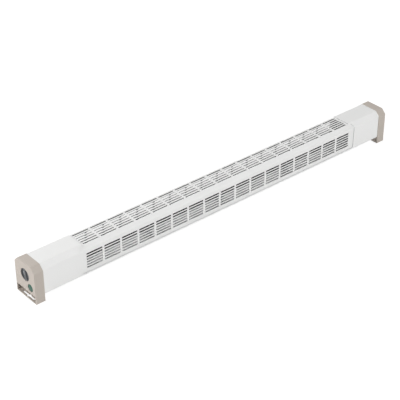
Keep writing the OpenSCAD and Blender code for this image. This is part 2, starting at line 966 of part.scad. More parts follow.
// Bulkhead plate with its flange on the floor, drawn at the left
module bulkhead() {
    difference() {
        union() {
            along_x(left_face, left_face + bulkhead_t)
                polygon(body_section(casing_t + side_gap));
            box([left_face - bulkhead_flange, left_face + bulkhead_t],
                [-flange_half, flange_half], [floor_z, floor_z + bulkhead_t]);
        }
        bar_x(left_face - cut, left_face + bulkhead_t + cut, 0, rod_z, bush_d + 2 * bush_gap);
        bar_x(left_face - cut, left_face + bulkhead_t + cut, way_y(ways - 1), way_z, wire_hole_d);
        for (s = [-1, 1])
            translate([left_face - bulkhead_flange / 2, s * floor_screw_y, floor_z - cut])
                cylinder(h = bulkhead_t + 2 * cut, d = screw_d + 2 * screw_gap);
    }
}

module left_bulkhead() {
    color("silver")
        difference() {
            bulkhead();
            bar_x(left_face - cut, left_face + bulkhead_t + cut, bulb_y, bulb_z, capillary_hole_d);
            for (s = [-1, 1])
                bar_x(left_face - cut, left_face + bulkhead_t + cut, cutout_y + s * ear_screw_y,
                      cutout_z, small_screw_d + 2 * screw_gap);
        }
}

module right_bulkhead() {
    color("silver")
        at_right()
            bulkhead();
}

module heat_reflector() {
    color("gainsboro")
        difference() {
            box([grille_x0, grille_x1], [-reflector_half, reflector_half], [floor_z, reflector_top]);
            box([grille_x0 - cut, grille_x1 + cut],
                [reflector_t - reflector_half, reflector_half - reflector_t],
                [floor_z - cut, reflector_z]);
            screw_holes(floor_screw_places, screw_d + 2 * screw_gap, floor_z, reflector_top + cut);
            screw_holes(concat(rivet_places, [clip_rivet]), rivet_d + 2 * screw_gap,
                        floor_z, reflector_top + cut);
        }
}

module overheat_cutout() {
    color("sienna")
        from_face()
            difference() {
                union() {
                    bar_x(bulkhead_in - cutout_t, bulkhead_in, cutout_y, cutout_z, cutout_d);
                    box([bulkhead_in - ear_t, bulkhead_in],
                        [cutout_y - ear_half, cutout_y + ear_half],
                        [cutout_z - ear_w / 2, cutout_z + ear_w / 2]);
                    for (s = [-1, 1])
                        box([bulkhead_in - cutout_t - tab_len, bulkhead_in - cutout_t / 2],
                            [cutout_y + s * cutout_tab_y - tab_t / 2,
                             cutout_y + s * cutout_tab_y + tab_t / 2],
                            [cutout_z - tab_w / 2, cutout_z + tab_w / 2]);
                }
                for (s = [-1, 1])
                    bar_x(bulkhead_in - ear_t - cut, bulkhead_in + cut, cutout_y + s * ear_screw_y,
                          cutout_z, small_screw_d + 2 * screw_gap);
            }
}

module cutout_screws() {
    color("silver")
        from_face()
            for (s = [-1, 1])
                small_screw(bulkhead_in - ear_t, cutout_y + s * ear_screw_y, cutout_z, 1);
}

// The leads end face to face on the tabs, studs and terminals that they join
switch_tab_end = block_end + tab_len;
thermo_tab_end = thermo_in + thermo_len + tab_len;
cutout_tab_end = bulkhead_in - cutout_t - tab_len;
stud_end = bulkhead_in - rod_past - stud_len;

module supply_lead() {
    z = switch_z - switch_tab_dz;
    color("brown")
        from_face()
            lead([[block_in, way_y(0), way_z],
                  [block_in - wire_run, way_y(0), way_z],
                  [switch_tab_end + wire_run, -switch_y, z],
                  [switch_tab_end, -switch_y, z]], wire_d);
}

module switched_lead() {
    z = switch_z + switch_tab_dz;
    color("brown")
        from_face()
            lead([[switch_tab_end, -switch_y, z],
                  [thermo_tab_end + wire_run, -switch_y, z],
                  [thermo_tab_end + wire_run, -tab_y, dial_z],
                  [thermo_tab_end, -tab_y, dial_z]], wire_d);
}

module cutout_lead() {
    color("brown")
        from_face()
            lead([[thermo_tab_end, tab_y, dial_z],
                  [thermo_tab_end + wire_far, tab_y, dial_z],
                  [cutout_tab_end - wire_run, cutout_y + cutout_tab_y, cutout_z],
                  [cutout_tab_end, cutout_y + cutout_tab_y, cutout_z]], wire_d);
}

module element_lead() {
    color("brown")
        from_face()
            lead([[cutout_tab_end, cutout_y - cutout_tab_y, cutout_z],
                  [cutout_tab_end - wire_run, cutout_y - cutout_tab_y, cutout_z],
                  [stud_end - wire_run, 0, rod_z],
                  [stud_end, 0, rod_z]], wire_d);
}

module return_lead() {
    right_end = right_face + rod_past + stud_len;
    block_end_x = block_in + block_len - end_x;
    color("steelblue")
        lead([[right_end, 0, rod_z],
              [right_end + wire_run, 0, rod_z],
              [right_end + 2 * wire_run, way_y(ways - 1), way_z],
              [block_end_x, way_y(ways - 1), way_z]], wire_d);
}

module earth_stud() {
    color("goldenrod")
        from_face()
            translate([earth_in, earth_y, floor_z]) {
                cylinder(h = earth_base_t, d = earth_base_d);
                cylinder(h = earth_len, d = stud_d);
                translate([0, 0, way_z - floor_z - nut_t / 2])
                    rotate([0, 0, 30])
                        cylinder(h = nut_t, d = nut_d, $fn = 6);
            }
}

module earth_lead() {
    nut_flat = nut_d / 2 * cos(30);
    x = block_in + block_len;
    color("olivedrab")
        from_face()
            lead([[x, way_y(1), way_z],
                  [x + wire_run / 2, way_y(1), way_z],
                  [x + wire_run / 2, earth_y, way_z],
                  [earth_in + nut_flat, earth_y, way_z]], wire_d);
}

module underside_screw(p) {
    translate([p[0], p[1], body_z0]) {
        cylinder(h = screw_len, d = screw_d);
        translate([0, 0, -screw_head_t])
            cylinder(h = screw_head_t, d = screw_head_d);
    }
}

module floor_screws() {
    color("silver")
        for (p = floor_screw_places)
            underside_screw(p);
}

module cap_screws() {
    color("silver")
        for (p = cap_screw_places)
            underside_screw(p);
}

casing();
grille();
control_end_cap();
plain_end_cap();
thermostat_dial();
thermostat_spindle();
thermostat_body();
thermostat_bracket();
thermostat_screws();
capillary_tube();
sensor_bulb();
bulb_clip();
switch_housing();
switch_rocker();
switch_tabs();
terminal_block();
terminal_screws();
cable_grommet();
cord_clamp();
cord_clamp_screws();
element_rod();
element_fins();
element_bushes();
element_terminals();
element_brackets();
reflector_rivets();
left_bulkhead();
right_bulkhead();
heat_reflector();
overheat_cutout();
cutout_screws();
supply_lead();
switched_lead();
cutout_lead();
element_lead();
return_lead();
earth_stud();
earth_lead();
floor_screws();
cap_screws();
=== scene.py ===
"""A plinth heater: a long slotted steel duct between two moulded end caps with feet.

The packed CAD parts are the frame. The sheet metal, the end caps, the dial, the rocker, the fins,
the underside's screws and the cable grommet are made here at the sizes below, and every other part
keeps its CAD shape.
+X runs from the control end to the plain end, the front faces -Y and the floor is Z = 0.
Lengths in the helpers are millimetres, and everything on a mesh is metres.
"""

import math

import bmesh
import bpy
from bpy.props import (
    FloatProperty,
    FloatVectorProperty,
    IntProperty,
    PointerProperty,
)
from mathutils import Matrix, Vector


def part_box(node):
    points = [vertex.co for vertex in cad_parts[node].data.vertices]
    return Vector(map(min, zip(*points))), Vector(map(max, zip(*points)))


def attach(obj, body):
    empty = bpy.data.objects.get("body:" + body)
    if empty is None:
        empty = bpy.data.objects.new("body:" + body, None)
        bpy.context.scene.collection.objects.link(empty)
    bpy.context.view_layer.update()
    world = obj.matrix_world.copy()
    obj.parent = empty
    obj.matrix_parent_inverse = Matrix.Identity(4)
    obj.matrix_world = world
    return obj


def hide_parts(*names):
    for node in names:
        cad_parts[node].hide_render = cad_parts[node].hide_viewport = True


bl_info = {
    "name": "Plinth heater",
    "version": (1, 0, 0),
    "blender": (4, 5, 0),
    "location": "View3D > Sidebar > Heater",
    "description": "Dresses the packed parts of a plinth heater",
    "category": "Object",
}

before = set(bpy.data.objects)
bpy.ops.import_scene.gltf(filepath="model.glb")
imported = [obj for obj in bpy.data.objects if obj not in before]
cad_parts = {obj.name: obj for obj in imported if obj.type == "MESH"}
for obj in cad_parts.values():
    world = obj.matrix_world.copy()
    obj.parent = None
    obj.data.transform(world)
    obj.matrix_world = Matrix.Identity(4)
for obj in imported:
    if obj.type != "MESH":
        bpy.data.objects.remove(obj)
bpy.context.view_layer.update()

MM = 0.001
EIGHTH = math.radians(45)
# Steps of a fold and of a small rounding
FOLD_STEPS = 6
SOFT_STEPS = 5
# Steps of a whole turn on a broad, a middling and a small round piece
BROAD_TURN = 96
TURN = 64
SMALL_TURN = 32
# Share of an inset that comes off a 45 degree bevel
BEVEL_SHARE = 2 - math.sqrt(2)
# Points of a mesh that lie closer than this, in millimetres, are made one point
WELD = 0.01
# Lengths that differ by less than this, in millimetres, count as the same
SAME = 1e-4


def box_mm(node):
    """Lowest and highest corner of a CAD node, in millimetres."""
    low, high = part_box(node)
    return low / MM, high / MM


CASING_LOW, CASING_HIGH = box_mm("casing")
CAP_HIGH = box_mm("control_end_cap")[1]
PLAIN_HIGH = box_mm("plain_end_cap")[1]
DIAL_LOW, DIAL_HIGH = box_mm("thermostat_dial")
DIAL_Z = (DIAL_LOW.z + DIAL_HIGH.z) / 2
DIAL_R = (DIAL_HIGH.z - DIAL_LOW.z) / 2
END_X = PLAIN_HIGH.x
BODY_X = CASING_HIGH.x
BODY_HALF = CASING_HIGH.y
BODY_LOW = CASING_LOW.z
BODY_TOP = CASING_HIGH.z
CAP_HALF = CAP_HIGH.y
CAP_TOP = CAP_HIGH.z
CAP_LEN = END_X - BODY_X


# Settings


def length(name, description, default):
    """A length in millimetres."""
    return FloatProperty(name=name, description=description, default=default, min=0.0)


def signed_length(name, description, default):
    """A place in millimetres, which may be negative."""
    return FloatProperty(name=name, description=description, default=default)


def angle_setting(name, description, degrees):
    """An angle."""
    return FloatProperty(name=name, description=description, subtype="ANGLE", default=math.radians(degrees))


def watts(name, description, default):
    """A lamp's power."""
    return FloatProperty(name=name, description=description, default=default, min=0.0, unit="POWER")


def white_share(name, description, default):
    """A share of full white."""
    return FloatProperty(
        name=name, description=description, subtype="FACTOR", default=default, min=0.0, max=1.0
    )


def paint(name, description, hex_code):
    """A colour, given as sRGB and kept as the linear value that shaders use."""
    return FloatVectorProperty(
        name=name,
        description=description,
        subtype="COLOR",
        size=3,
        min=0.0,
        max=1.0,
        default=linear(hex_code)[:3],
    )


def linear(hex_code):
    """Linear RGBA of an sRGB colour such as 'E9E9E7'."""
    srgb = [int(hex_code[i : i + 2], 16) / 255 for i in (0, 2, 4)]
    return tuple(c / 12.92 if c <= 0.04045 else ((c + 0.055) / 1.055) ** 2.4 for c in srgb) + (1.0,)


def rgba(colour):
    """A setting's linear colour with full alpha."""
    return tuple(colour) + (1.0,)


class SheetSettings(bpy.types.PropertyGroup):
    """Folded casing and slotted grille, in millimetres"""

    top_bevel: length("Top bevel", "Width of the folded bevel along the top edges", 9.0)
    bottom_bevel: length("Bottom bevel", "Width of the folded bevel along the bottom edges", 5.0)
    fold_radius: length("Fold radius", "Outside radius of each fold", 4.0)
    casing_wall: length("Casing sheet", "Thickness of the casing sheet", 1.2)
    grille_wall: length("Grille sheet", "Thickness of the grille sheet", 0.8)
    grille_fit: length("Grille fit", "Gap between the casing and the grille nested in it", 0.2)
    edge_break: length("Edge break", "Rounding of the cut edges under the coat", 0.15)
    window_rim_front: length("Front rim", "Plain rim past the slots on the front", 15.0)
    window_rim_top: length("Top rim", "Plain rim past the slots on the top", 4.0)
    window_sill: length("Sill", "Lower edge of the window above the underside", 7.0)
    window_corner: length("Window corner", "Radius of the window's lower corners", 5.0)
    grille_shift: length("Grille shift", "Shift of the grille away from the control end", 2.5)
    groups: IntProperty(name="Groups", description="Slot groups along the grille", default=17, min=1)
    rows: IntProperty(name="Rows", description="Rows of slots on each face", default=6, min=1)
    group_pitch: length("Group pitch", "Distance from one group to the next", 39.6)
    slot_length: length("Slot length", "Length of one slot", 35.2)
    slot_corner: length("Slot corner", "Corner radius of a slot", 0.8)
    side_slot: length("Side slot", "Height of a slot on the front and the back", 3.4)
    side_pitch: length("Side row pitch", "Distance between rows on the front and the back", 5.7)
    side_base: length("Side row base", "Lowest row above the underside of the body", 16.5)
    back_rise: length("Back rise", "How much higher the rows on the back sit than those on the front", 0.5)
    top_slot: length("Top slot", "Width of a slot on the top", 3.3)
    top_pitch: length("Top row pitch", "Distance between rows on the top", 6.5)
    top_shift: length("Top row shift", "How far the top rows sit towards the front", 1.5)
    coat: paint("Coat", "Colour of the powder coat", "F1F1F0")


class CapSettings(bpy.types.PropertyGroup):
    """Moulded end caps and feet, in millimetres"""

    wall: length("Wall", "Wall of the moulding", 2.4)
    bevel: length("Bevel", "Bevel along the top edges", 10.0)
    blend: length("Blend", "Blend radius at the ends of the bevel", 5.0)
    rim: length("Rim", "Rounding around the outer face", 0.9)
    lip: length("Lip", "Rounding where the cap meets the body", 0.3)
    foot_corner: length("Foot corner", "Radius of the lower corners", 0.8)
    opening: length("Opening", "Height of the opening in the outer face of a foot", 16.1)
    inner_opening: length("Inner opening", "Height of the opening on the inner side", 9.2)
    jamb: length("Jamb", "Wall at each end of that opening", 2.5)
    plate: length("Plate", "Thickness of the foot plate", 2.2)
    slot_length: length("Fixing slot", "Length of the slot in the foot plate", 36.0)
    slot_width: length("Fixing slot width", "Width of that slot", 4.2)
    slot_eye: length("Fixing slot eye", "Diameter of its round middle", 8.0)
    slot_in: length("Fixing slot place", "Distance of the slot from the outer face", 5.5)
    spigot: length("Spigot", "Length that plugs into the body", 11.0)
    spigot_wall: length("Spigot wall", "Wall of the spigot", 2.2)
    spigot_fit: length("Spigot fit", "Gap between the spigot and the body", 0.25)
    plastic: paint("Moulding", "Colour of the mouldings", "BEB5AC")


class ControlSettings(bpy.types.PropertyGroup):
    """Dial and rocker switch, in millimetres"""

    dial_gap: length("Dial gap", "Gap around the dial", 0.4)
    dial_sink: length("Dial sink", "How far the dial lies behind the outer face", 0.5)
    dial_disc: length("Dial disc", "Thickness of the dial", 4.5)
    dial_rim: length("Dial rim", "Width of the rim round the finger hollows", 1.3)
    hollow: length("Hollow", "Depth of the finger hollows beside the grip bar", 1.8)
    grip_width: length("Grip width", "Width of the grip bar between the hollows", 7.0)
    grip_turn: angle_setting("Grip turn", "Turn of the grip bar from upright", 12)
    rocker: length("Rocker", "Diameter of the rocker", 14.6)
    rocker_gap: length("Rocker gap", "Gap around the rocker", 0.5)
    rocker_y: signed_length("Rocker place", "Place of the rocker across the cap", -14.75)
    rocker_z: length("Rocker height", "Height of the rocker above the floor", 28.0)
    rocker_sink: length("Rocker sink", "How far its crest lies behind the outer face", 0.5)
    rocker_tilt: angle_setting("Rocker tilt", "Tilt of the rocker at rest", 6)
    knob: paint("Knob", "Colour of the dial", "4B4D50")
    # The marks are a painted highlight of the grip bar's edge
    mark: paint("Mark", "Colour of the marks on the dial", "C4C6C6")
    lens: paint("Lens", "Colour of the rocker", "1B5745")


class ElementSettings(bpy.types.PropertyGroup):
    """Finned element, in millimetres"""

    fins: IntProperty(name="Fins", description="Number of fins", default=80, min=2)
    fin_pitch: length("Fin pitch", "Distance from one fin to the next", 8.0)
    fin: length("Fin", "Diameter of a fin", 21.0)
    fin_wall: length("Fin sheet", "Thickness of a fin", 0.8)
    rod: length("Rod", "Diameter of the rod", 8.0)
    # The fins are darker than the rod's heat scale: partly their own scale, partly painted shade for the dark
    # inside of the duct
    steel: paint("Fin steel", "Colour of the heat-darkened fins", "151414")


class StageSettings(bpy.types.PropertyGroup):
    """Camera, floor and light"""

    focal: FloatProperty(
        name="Focal length", description="For a sensor 36 mm wide", default=110.3, unit="CAMERA"
    )
    key: watts("Key", "Power of the lamp at the control end", 45.0)
    front: watts("Front", "Power of the lamp in front", 45.0)
    top: watts("Top", "Power of the lamp overhead", 2.5)
    back: watts("Back", "Power of the low lamp behind", 20.0)
    side: watts("Side", "Power of the low lamp at the plain end", 16.0)
    sky: white_share("Sky", "Strength of the even light all round", 0.12)
    floor: paint("Floor", "Colour of the floor", "F2F2F2")
    glow: white_share("Glow", "White that the floor shows over its own colour", 0.8)


# Mesh helpers


def to_object(name, bm, material=None):
    """A new object at the origin from a bmesh drawn in millimetres."""
    bmesh.ops.transform(bm, matrix=Matrix.Scale(MM, 4), verts=bm.verts)
    mesh = bpy.data.meshes.new(name)
    bm.to_mesh(mesh)
    bm.free()
    obj = bpy.data.objects.new(name, mesh)
    bpy.context.scene.collection.objects.link(obj)
    if material:
        mesh.materials.append(material)
    return obj


def settle(obj):
    """Turns the object with its modifiers into a plain mesh."""
    bpy.context.view_layer.update()
    evaluated = obj.evaluated_get(bpy.context.evaluated_depsgraph_get())
    mesh = bpy.data.meshes.new_from_object(evaluated, depsgraph=bpy.context.evaluated_depsgraph_get())
    old = obj.data
    mesh.name = old.name
    obj.modifiers.clear()
    obj.data = mesh
    bpy.data.meshes.remove(old)
    return obj


def shade(obj, angle=35.0):
    """Smooth shading up to an angle, with broad faces kept flat."""
    obj.data.polygons.foreach_set("use_smooth", [True] * len(obj.data.polygons))
    obj.data.set_sharp_from_angle(angle=math.radians(angle))
    weighted = obj.modifiers.new("weighted_normals", "WEIGHTED_NORMAL")
    weighted.keep_sharp = True
    weighted.weight = 80
    return settle(obj)


def combine(obj, other, operation):
    """Adds another closed mesh to this one, or cuts it away."""
    modifier = obj.modifiers.new("combine", "BOOLEAN")
    modifier.operation = operation
    modifier.solver = "EXACT"
    modifier.object = other
    settle(obj)
    discard(other)
    return obj


def discard(obj):
    """Removes a helper object with its mesh."""
    mesh = obj.data
    bpy.data.objects.remove(obj)
    bpy.data.meshes.remove(mesh)


def soften(obj, width, angle=50.0):
    """Breaks every edge sharper than an angle with one narrow face."""
    bevel = obj.modifiers.new("edge_break", "BEVEL")
    bevel.width = width * MM
    bevel.segments = 1
    bevel.limit_method = "ANGLE"
    bevel.angle_limit = math.radians(angle)
    bevel.use_clamp_overlap = True
    return settle(obj)


def ride(obj, body, slot, *nodes):
    """Fixes a finished piece to its body and hides the nodes it stands for. The slot is not used."""
    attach(obj, body)
    if nodes:
        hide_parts(*nodes)


def rounded(corners, radii, steps):
    """A closed outline with each corner rounded to its radius."""
    points = []
    for i, corner in enumerate(corners):
        here = Vector(corner)
        to_last = (Vector(corners[i - 1]) - here).normalized()
        to_next = (Vector(corners[(i + 1) % len(corners)]) - here).normalized()
        half = to_last.angle(to_next) / 2
        centre = here + (to_last + to_next).normalized() * radii[i] / math.sin(half)
        start = here + to_last * radii[i] / math.tan(half) - centre
        end = here + to_next * radii[i] / math.tan(half) - centre
        turn = math.atan2(start.x * end.y - start.y * end.x, start.dot(end))
        for k in range(steps + 1):
            points.append(centre + Matrix.Rotation(turn * k / steps, 2) @ start)
    return points


def circle(steps):
    """Points round a circle of radius 1."""
    turns = [2 * math.pi * k / steps for k in range(steps)]
    return [(math.cos(a), math.sin(a)) for a in turns]


def bridge(bm, loops):
    """Faces from each loop of vertices to the next."""
    for a, b in zip(loops, loops[1:]):
        for i in range(len(a)):
            j = (i + 1) % len(a)
            bm.faces.new((a[i], a[j], b[j], b[i]))


def solid(name, *parts, material=None):
    """A new object from closed solids, each a list of rings of equally many points."""
    bm = bmesh.new()
    for rings in parts:
        loops = [[bm.verts.new(p) for p in ring] for ring in rings]
        bridge(bm, loops)
        bm.faces.new(loops[0])
        bm.faces.new(list(reversed(loops[-1])))
    bmesh.ops.recalc_face_normals(bm, faces=bm.faces)
    return to_object(name, bm, material)


def hoop(name, rings, material):
    """A new object from rings that close on themselves, with a bore through it."""
    bm = bmesh.new()
    loops = [[bm.verts.new(p) for p in ring] for ring in rings]
    bridge(bm, loops + loops[:1])
    bmesh.ops.recalc_face_normals(bm, faces=bm.faces)
    return to_object(name, bm, material)


def along_x(side, inward, outline):
    """Points of a Y and Z outline at a distance inward from the outer face of a cap."""
    return [(side * (END_X - inward), p[0], p[1]) for p in outline]


def turned(side, centre, profile, segments):
    """Rings about an X axis from a profile of (inward, radius)."""
    y, z = centre
    ring = circle(segments)
    return [[(side * (END_X - inward), y + r * u, z + r * v) for u, v in ring] for inward, r in profile]


def upright(centre, profile, segments=SMALL_TURN):
    """Rings about an upright axis from a profile of (height, radius)."""
    x, y = centre
    return [[(x + r * u, y + r * v, z) for u, v in circle(segments)] for z, r in profile]


def quarter(radius, steps=SOFT_STEPS):
    """A quarter round as (distance in, distance left to go) pairs."""
    for k in range(steps + 1):
        a = math.pi / 2 * k / steps
        yield radius * (1 - math.cos(a)), radius * (1 - math.sin(a))


# Material helpers

# Finishes of the pieces that are made here, by name
MATERIALS = {}


def add_node(tree, kind, inputs=None, **settings):
    """Adds a node with its settings, and gives each named input a constant or a link."""
    node = tree.nodes.new(kind)
    for name, value in settings.items():
        setattr(node, name, value)
    for name, value in (inputs or {}).items():
        if isinstance(value, bpy.types.NodeSocket):
            tree.links.new(value, node.inputs[name])
        else:
            node.inputs[name].default_value = value
    return node


def finish(name, colour, roughness, metallic=0.0, mottle=None, wear=None, reliefs=(), constants=None):
    """A Principled material whose patterns lie on object coordinates.

    mottle is (grain, detail, dark, light): the colour varies between two shares of itself.
    wear is (grain, detail, low, high): the roughness varies between two values.
    A relief is (grain, detail, depth, strength). Grains and depths are in millimetres, a grain of
    three lengths is stretched along X, Y and Z, and a detail of None gives flat cells."""
    material = bpy.data.materials.new(name)
    material.use_nodes = True
    tree = material.node_tree
    shader = tree.nodes["Principled BSDF"]
    constants = {"Base Color": colour, "Roughness": roughness, "Metallic": metallic, **(constants or {})}
    for socket, value in constants.items():
        shader.inputs[socket].default_value = value
    place = add_node(tree, "ShaderNodeTexCoord").outputs["Object"]
    normal = None
    for kind, spec in [("mottle", mottle), ("wear", wear)] + [("relief", relief) for relief in reliefs]:
        if not spec:
            continue
        grain, detail, low, high = spec
        grains = grain if isinstance(grain, tuple) else (grain, grain, grain)
        scale = tuple(1 / (g * MM) for g in grains)
        scaled = add_node(tree, "ShaderNodeMapping", {"Vector": place, "Scale": scale}).outputs["Vector"]
        if detail is None:
            cells = add_node(tree, "ShaderNodeTexVoronoi", {"Vector": scaled, "Scale": 1.0})
            parts = add_node(tree, "ShaderNodeSeparateColor", {"Color": cells.outputs["Color"]})
            factor = parts.outputs["Red"]
        else:
            noise = {"Vector": scaled, "Scale": 1.0, "Detail": detail}
            factor = add_node(tree, "ShaderNodeTexNoise", noise).outputs["Fac"]
        if kind == "mottle":
            dark, light = (rgba(min(1.0, c * share) for c in colour[:3]) for share in (low, high))
            ends = {"Factor": factor, "A": dark, "B": light}
            mix = add_node(tree, "ShaderNodeMix", ends, data_type="RGBA")
            tree.links.new(mix.outputs["Result"], shader.inputs["Base Color"])
        elif kind == "wear":
            spread = add_node(tree, "ShaderNodeMapRange", {"Value": factor, "To Min": low, "To Max": high})
            tree.links.new(spread.outputs["Result"], shader.inputs["Roughness"])
        else:
            inputs = {"Height": factor, "Distance": low * MM, "Strength": high}
            if normal:
                inputs["Normal"] = normal
            normal = add_node(tree, "ShaderNodeBump", inputs).outputs["Normal"]
    if normal:
        tree.links.new(normal, shader.inputs["Normal"])
    return material


def powder_coat(colour):
    """Polyester powder coat on sheet steel: satin, a little orange peel, no grain."""
    # The peel is drawn at its real spacing of 1.6 mm. The broad mottle is the coat's thickness.
    return finish(
        "satin_powder_coat",
        colour,
        0.55,
        mottle=(60, 1, 0.985, 1.0),
        wear=(14, 2, 0.5, 0.6),
        reliefs=[(1.6, 2, 0.012, 0.5)],
    )


def textured_abs(colour):
    """ABS moulded in a spark-eroded tool: matt, finely pitted, slightly wavy where it shrank."""
    # The pits are 0.2 mm in the real tool and are drawn at 0.35 mm so that they show close up
    return finish(
        "spark_textured_abs",
        colour,
        0.55,
        mottle=(18, 2, 0.97, 1.0),
        wear=(6, 2, 0.5, 0.62),
        reliefs=[(0.35, 3, 0.03, 0.6), (25, 1, 0.05, 0.3)],
    )


def dial_phenolic(colour):
    """Pressed phenolic of the dial: dark, satin, with faint flow marks."""
    return finish(
        "pressed_phenolic",
        colour,
        0.42,
        mottle=(5, 3, 0.85, 1.1),
        wear=(3, 2, 0.34, 0.5),
        reliefs=[(0.3, 2, 0.015, 0.5)],
    )


def painted_highlight_ink(colour):
    """Light matt paint for a painted highlight: thin, a little uneven at its edge."""
    return finish("pad_printed_ink", colour, 0.6, mottle=(0.8, 2, 0.9, 1.0), reliefs=[(0.2, 2, 0.01, 0.4)])


def tinted_lens(colour):
    """Tinted polycarbonate of the rocker: smooth and deep, dark where no lamp is lit behind it."""
    return finish(
        "tinted_polycarbonate",
        colour,
        0.3,
        mottle=(5, 1, 0.9, 1.08),
        wear=(2, 2, 0.26, 0.36),
        reliefs=[(4, 1, 0.02, 0.3)],
        constants={"Subsurface Weight": 0.05, "Subsurface Radius": (0.0004, 0.001, 0.0007)},
    )


def hot_dipped(name, hex_code, spangle, roughness=0.4):
    """Sheet dipped in zinc or aluminium: dull grey crystals, each a little lighter or darker."""
    return finish(
        name,
        linear(hex_code),
        roughness,
        1.0,
        mottle=(spangle, None, 0.82, 1.05),
        wear=(spangle * 0.9, None, roughness - 0.1, roughness + 0.1),
        reliefs=[(3, 2, 0.02, 0.3)],
    )


def plated(name, hex_code, roughness=0.3):
    """Plated or drawn metal: bright, with fine scratches along X."""
    # Draw lines are about 0.1 mm apart and are drawn at 0.5 mm so that they show
    return finish(
        name,
        linear(hex_code),
        roughness,
        1.0,
        mottle=(4, 3, 0.88, 1.05),
        wear=((3.3, 0.5, 0.5), 2, roughness - 0.08, roughness + 0.12),
        reliefs=[((2.0, 0.3, 0.3), 2, 0.005, 0.4)],
    )


def heat_darkened(name, colour, roughness):
    """Steel darkened by heat: patchy brown-black scale with a dull sheen."""
    return finish(
        name,
        colour,
        roughness,
        0.6,
        mottle=(7, 4, 0.7, 1.25),
        wear=(2.5, 3, roughness - 0.12, roughness + 0.15),
        reliefs=[(0.6, 3, 0.02, 0.5)],
    )


def moulded(name, hex_code, roughness, grain=0.4):
    """Small moulded or fired piece: even colour, fine grain, soft gloss."""
    return finish(
        name,
        linear(hex_code),
        roughness,
        mottle=(6, 3, 0.93, 1.03),
        wear=(2, 2, roughness - 0.06, roughness + 0.08),
        reliefs=[(grain, 2, 0.02, 0.5)],
    )


def thin_coat_and_shade(name, hex_code, roughness):
    """Matt grey coat on steel that serves as painted shade, wholly on the grille's inner face and in part on
    the cut edges: a little uneven, with the fine peel of its spray.
    """
    return finish(
        name,
        linear(hex_code),
        roughness,
        mottle=(6, 3, 0.93, 1.03),
        wear=(2, 2, roughness - 0.06, roughness + 0.08),
        reliefs=[(1.2, 2, 0.02, 0.5)],
    )


def sleeving(name, hex_code):
    """Silicone sleeving of a lead: soft, slightly waxy, with the ripple of its braid."""
    return finish(
        name,
        linear(hex_code),
        0.5,
        mottle=(10, 2, 0.9, 1.05),
        wear=(1.5, 2, 0.42, 0.6),
        reliefs=[(0.7, 1, 0.02, 0.3)],
        constants={"Sheen Weight": 0.1},
    )


def dress(node, material):
    """Gives a CAD node a material."""
    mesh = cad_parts[node].data
    mesh.materials.clear()
    mesh.materials.append(material)


# Folded sheet metal

# Places in a section's runs, in which flats and folds take turns from the middle of the top
TOP_BEVEL_RUN = 2
FACE_RUN = 4
LOW_BEVEL_RUN = 6


class FoldedSection:
    """Half of the duct's section as a flat pattern: a distance from the middle of the top, folded
    down the front, gives a point and its outward normal. Negative distances run down the back."""

    def __init__(self, sheet, inset):
        half = BODY_HALF - inset
        bottom = BODY_LOW + inset
        top = BODY_TOP - inset
        high = sheet.top_bevel - inset * BEVEL_SHARE
        low = sheet.bottom_bevel - inset * BEVEL_SHARE
        radius = sheet.fold_radius - inset
        tangent = radius * math.tan(EIGHTH / 2)
        flats = [
            half - high - tangent,
            high * math.sqrt(2) - 2 * tangent,
            top - high - bottom - low - 2 * tangent,
            low * math.sqrt(2) - 2 * tangent,
            half - low - tangent,
        ]
        self.runs = []
        point, normal, start = Vector((0.0, top)), Vector((0.0, 1.0)), 0.0
        for i, flat in enumerate(flats):
            heading = Vector((-normal.y, normal.x))
            self.runs.append((start, flat, point.copy(), normal.copy(), 0.0))
            point += heading * flat
            start += flat
            if i < len(flats) - 1:
                self.runs.append((start, radius * EIGHTH, point.copy(), normal.copy(), radius))
                centre = point - normal * radius
                normal = Matrix.Rotation(EIGHTH, 2) @ normal
                point = centre + normal * radius
                start += radius * EIGHTH
        self.girth = start

    def at(self, s):
        """Point and outward normal at a distance down the front, or up the back if negative."""
        side = -1.0 if s < 0 else 1.0
        distance = min(abs(s), self.girth)
        for start, run, point, normal, radius in self.runs:
            if distance <= start + run + SAME:
                break
        if radius:
            turned_normal = Matrix.Rotation((distance - start) / radius, 2) @ normal
            place = point - normal * radius + turned_normal * radius
            normal = turned_normal
        else:
            place = point + Vector((-normal.y, normal.x)) * (distance - start)
        return Vector((place.x * side, place.y)), Vector((normal.x * side, normal.y))

    def drop(self, z):
        """Distance down the front at which the upright face reaches a height."""
        start, _, point, _, _ = self.runs[FACE_RUN]
        return start + point.y - z

    def folds(self, steps):
        """Distances at the ends of every fold and at even steps within it."""
        levels = []
        for start, run, _, _, radius in self.runs:
            if radius:
                levels += [start + run * k / steps for k in range(steps + 1)]
        return levels


def slots_half(sheet):
    """Half the length from the first slot to the last."""
    return ((sheet.groups - 1) * sheet.group_pitch + sheet.slot_length) / 2


def window_half(sheet, z):
    """Half the length of the casing's window at a height, on its way from the front to the top."""
    front = slots_half(sheet) + sheet.window_rim_front
    top = slots_half(sheet) + sheet.window_rim_top
    turn = BODY_TOP - sheet.top_bevel
    crest = BODY_TOP - sheet.casing_wall
    sill = BODY_LOW + sheet.window_sill
    if z >= crest:
        return top
    if z >= turn:
        rise = (z - turn) / (crest - turn)
        return top + (front - top) * math.sqrt(1 - rise * rise)
    if z >= sill + sheet.window_corner:
        return front
    drop = min(sheet.window_corner, sill + sheet.window_corner - z)
    return front - sheet.window_corner + math.sqrt(sheet.window_corner**2 - drop**2)


# Columns of faces on a sleeve and under the window, and steps on the window's curves
SLEEVE_COLUMNS = 4
FLOOR_COLUMNS = 12
BEVEL_STEPS = 10
CORNER_STEPS = 8


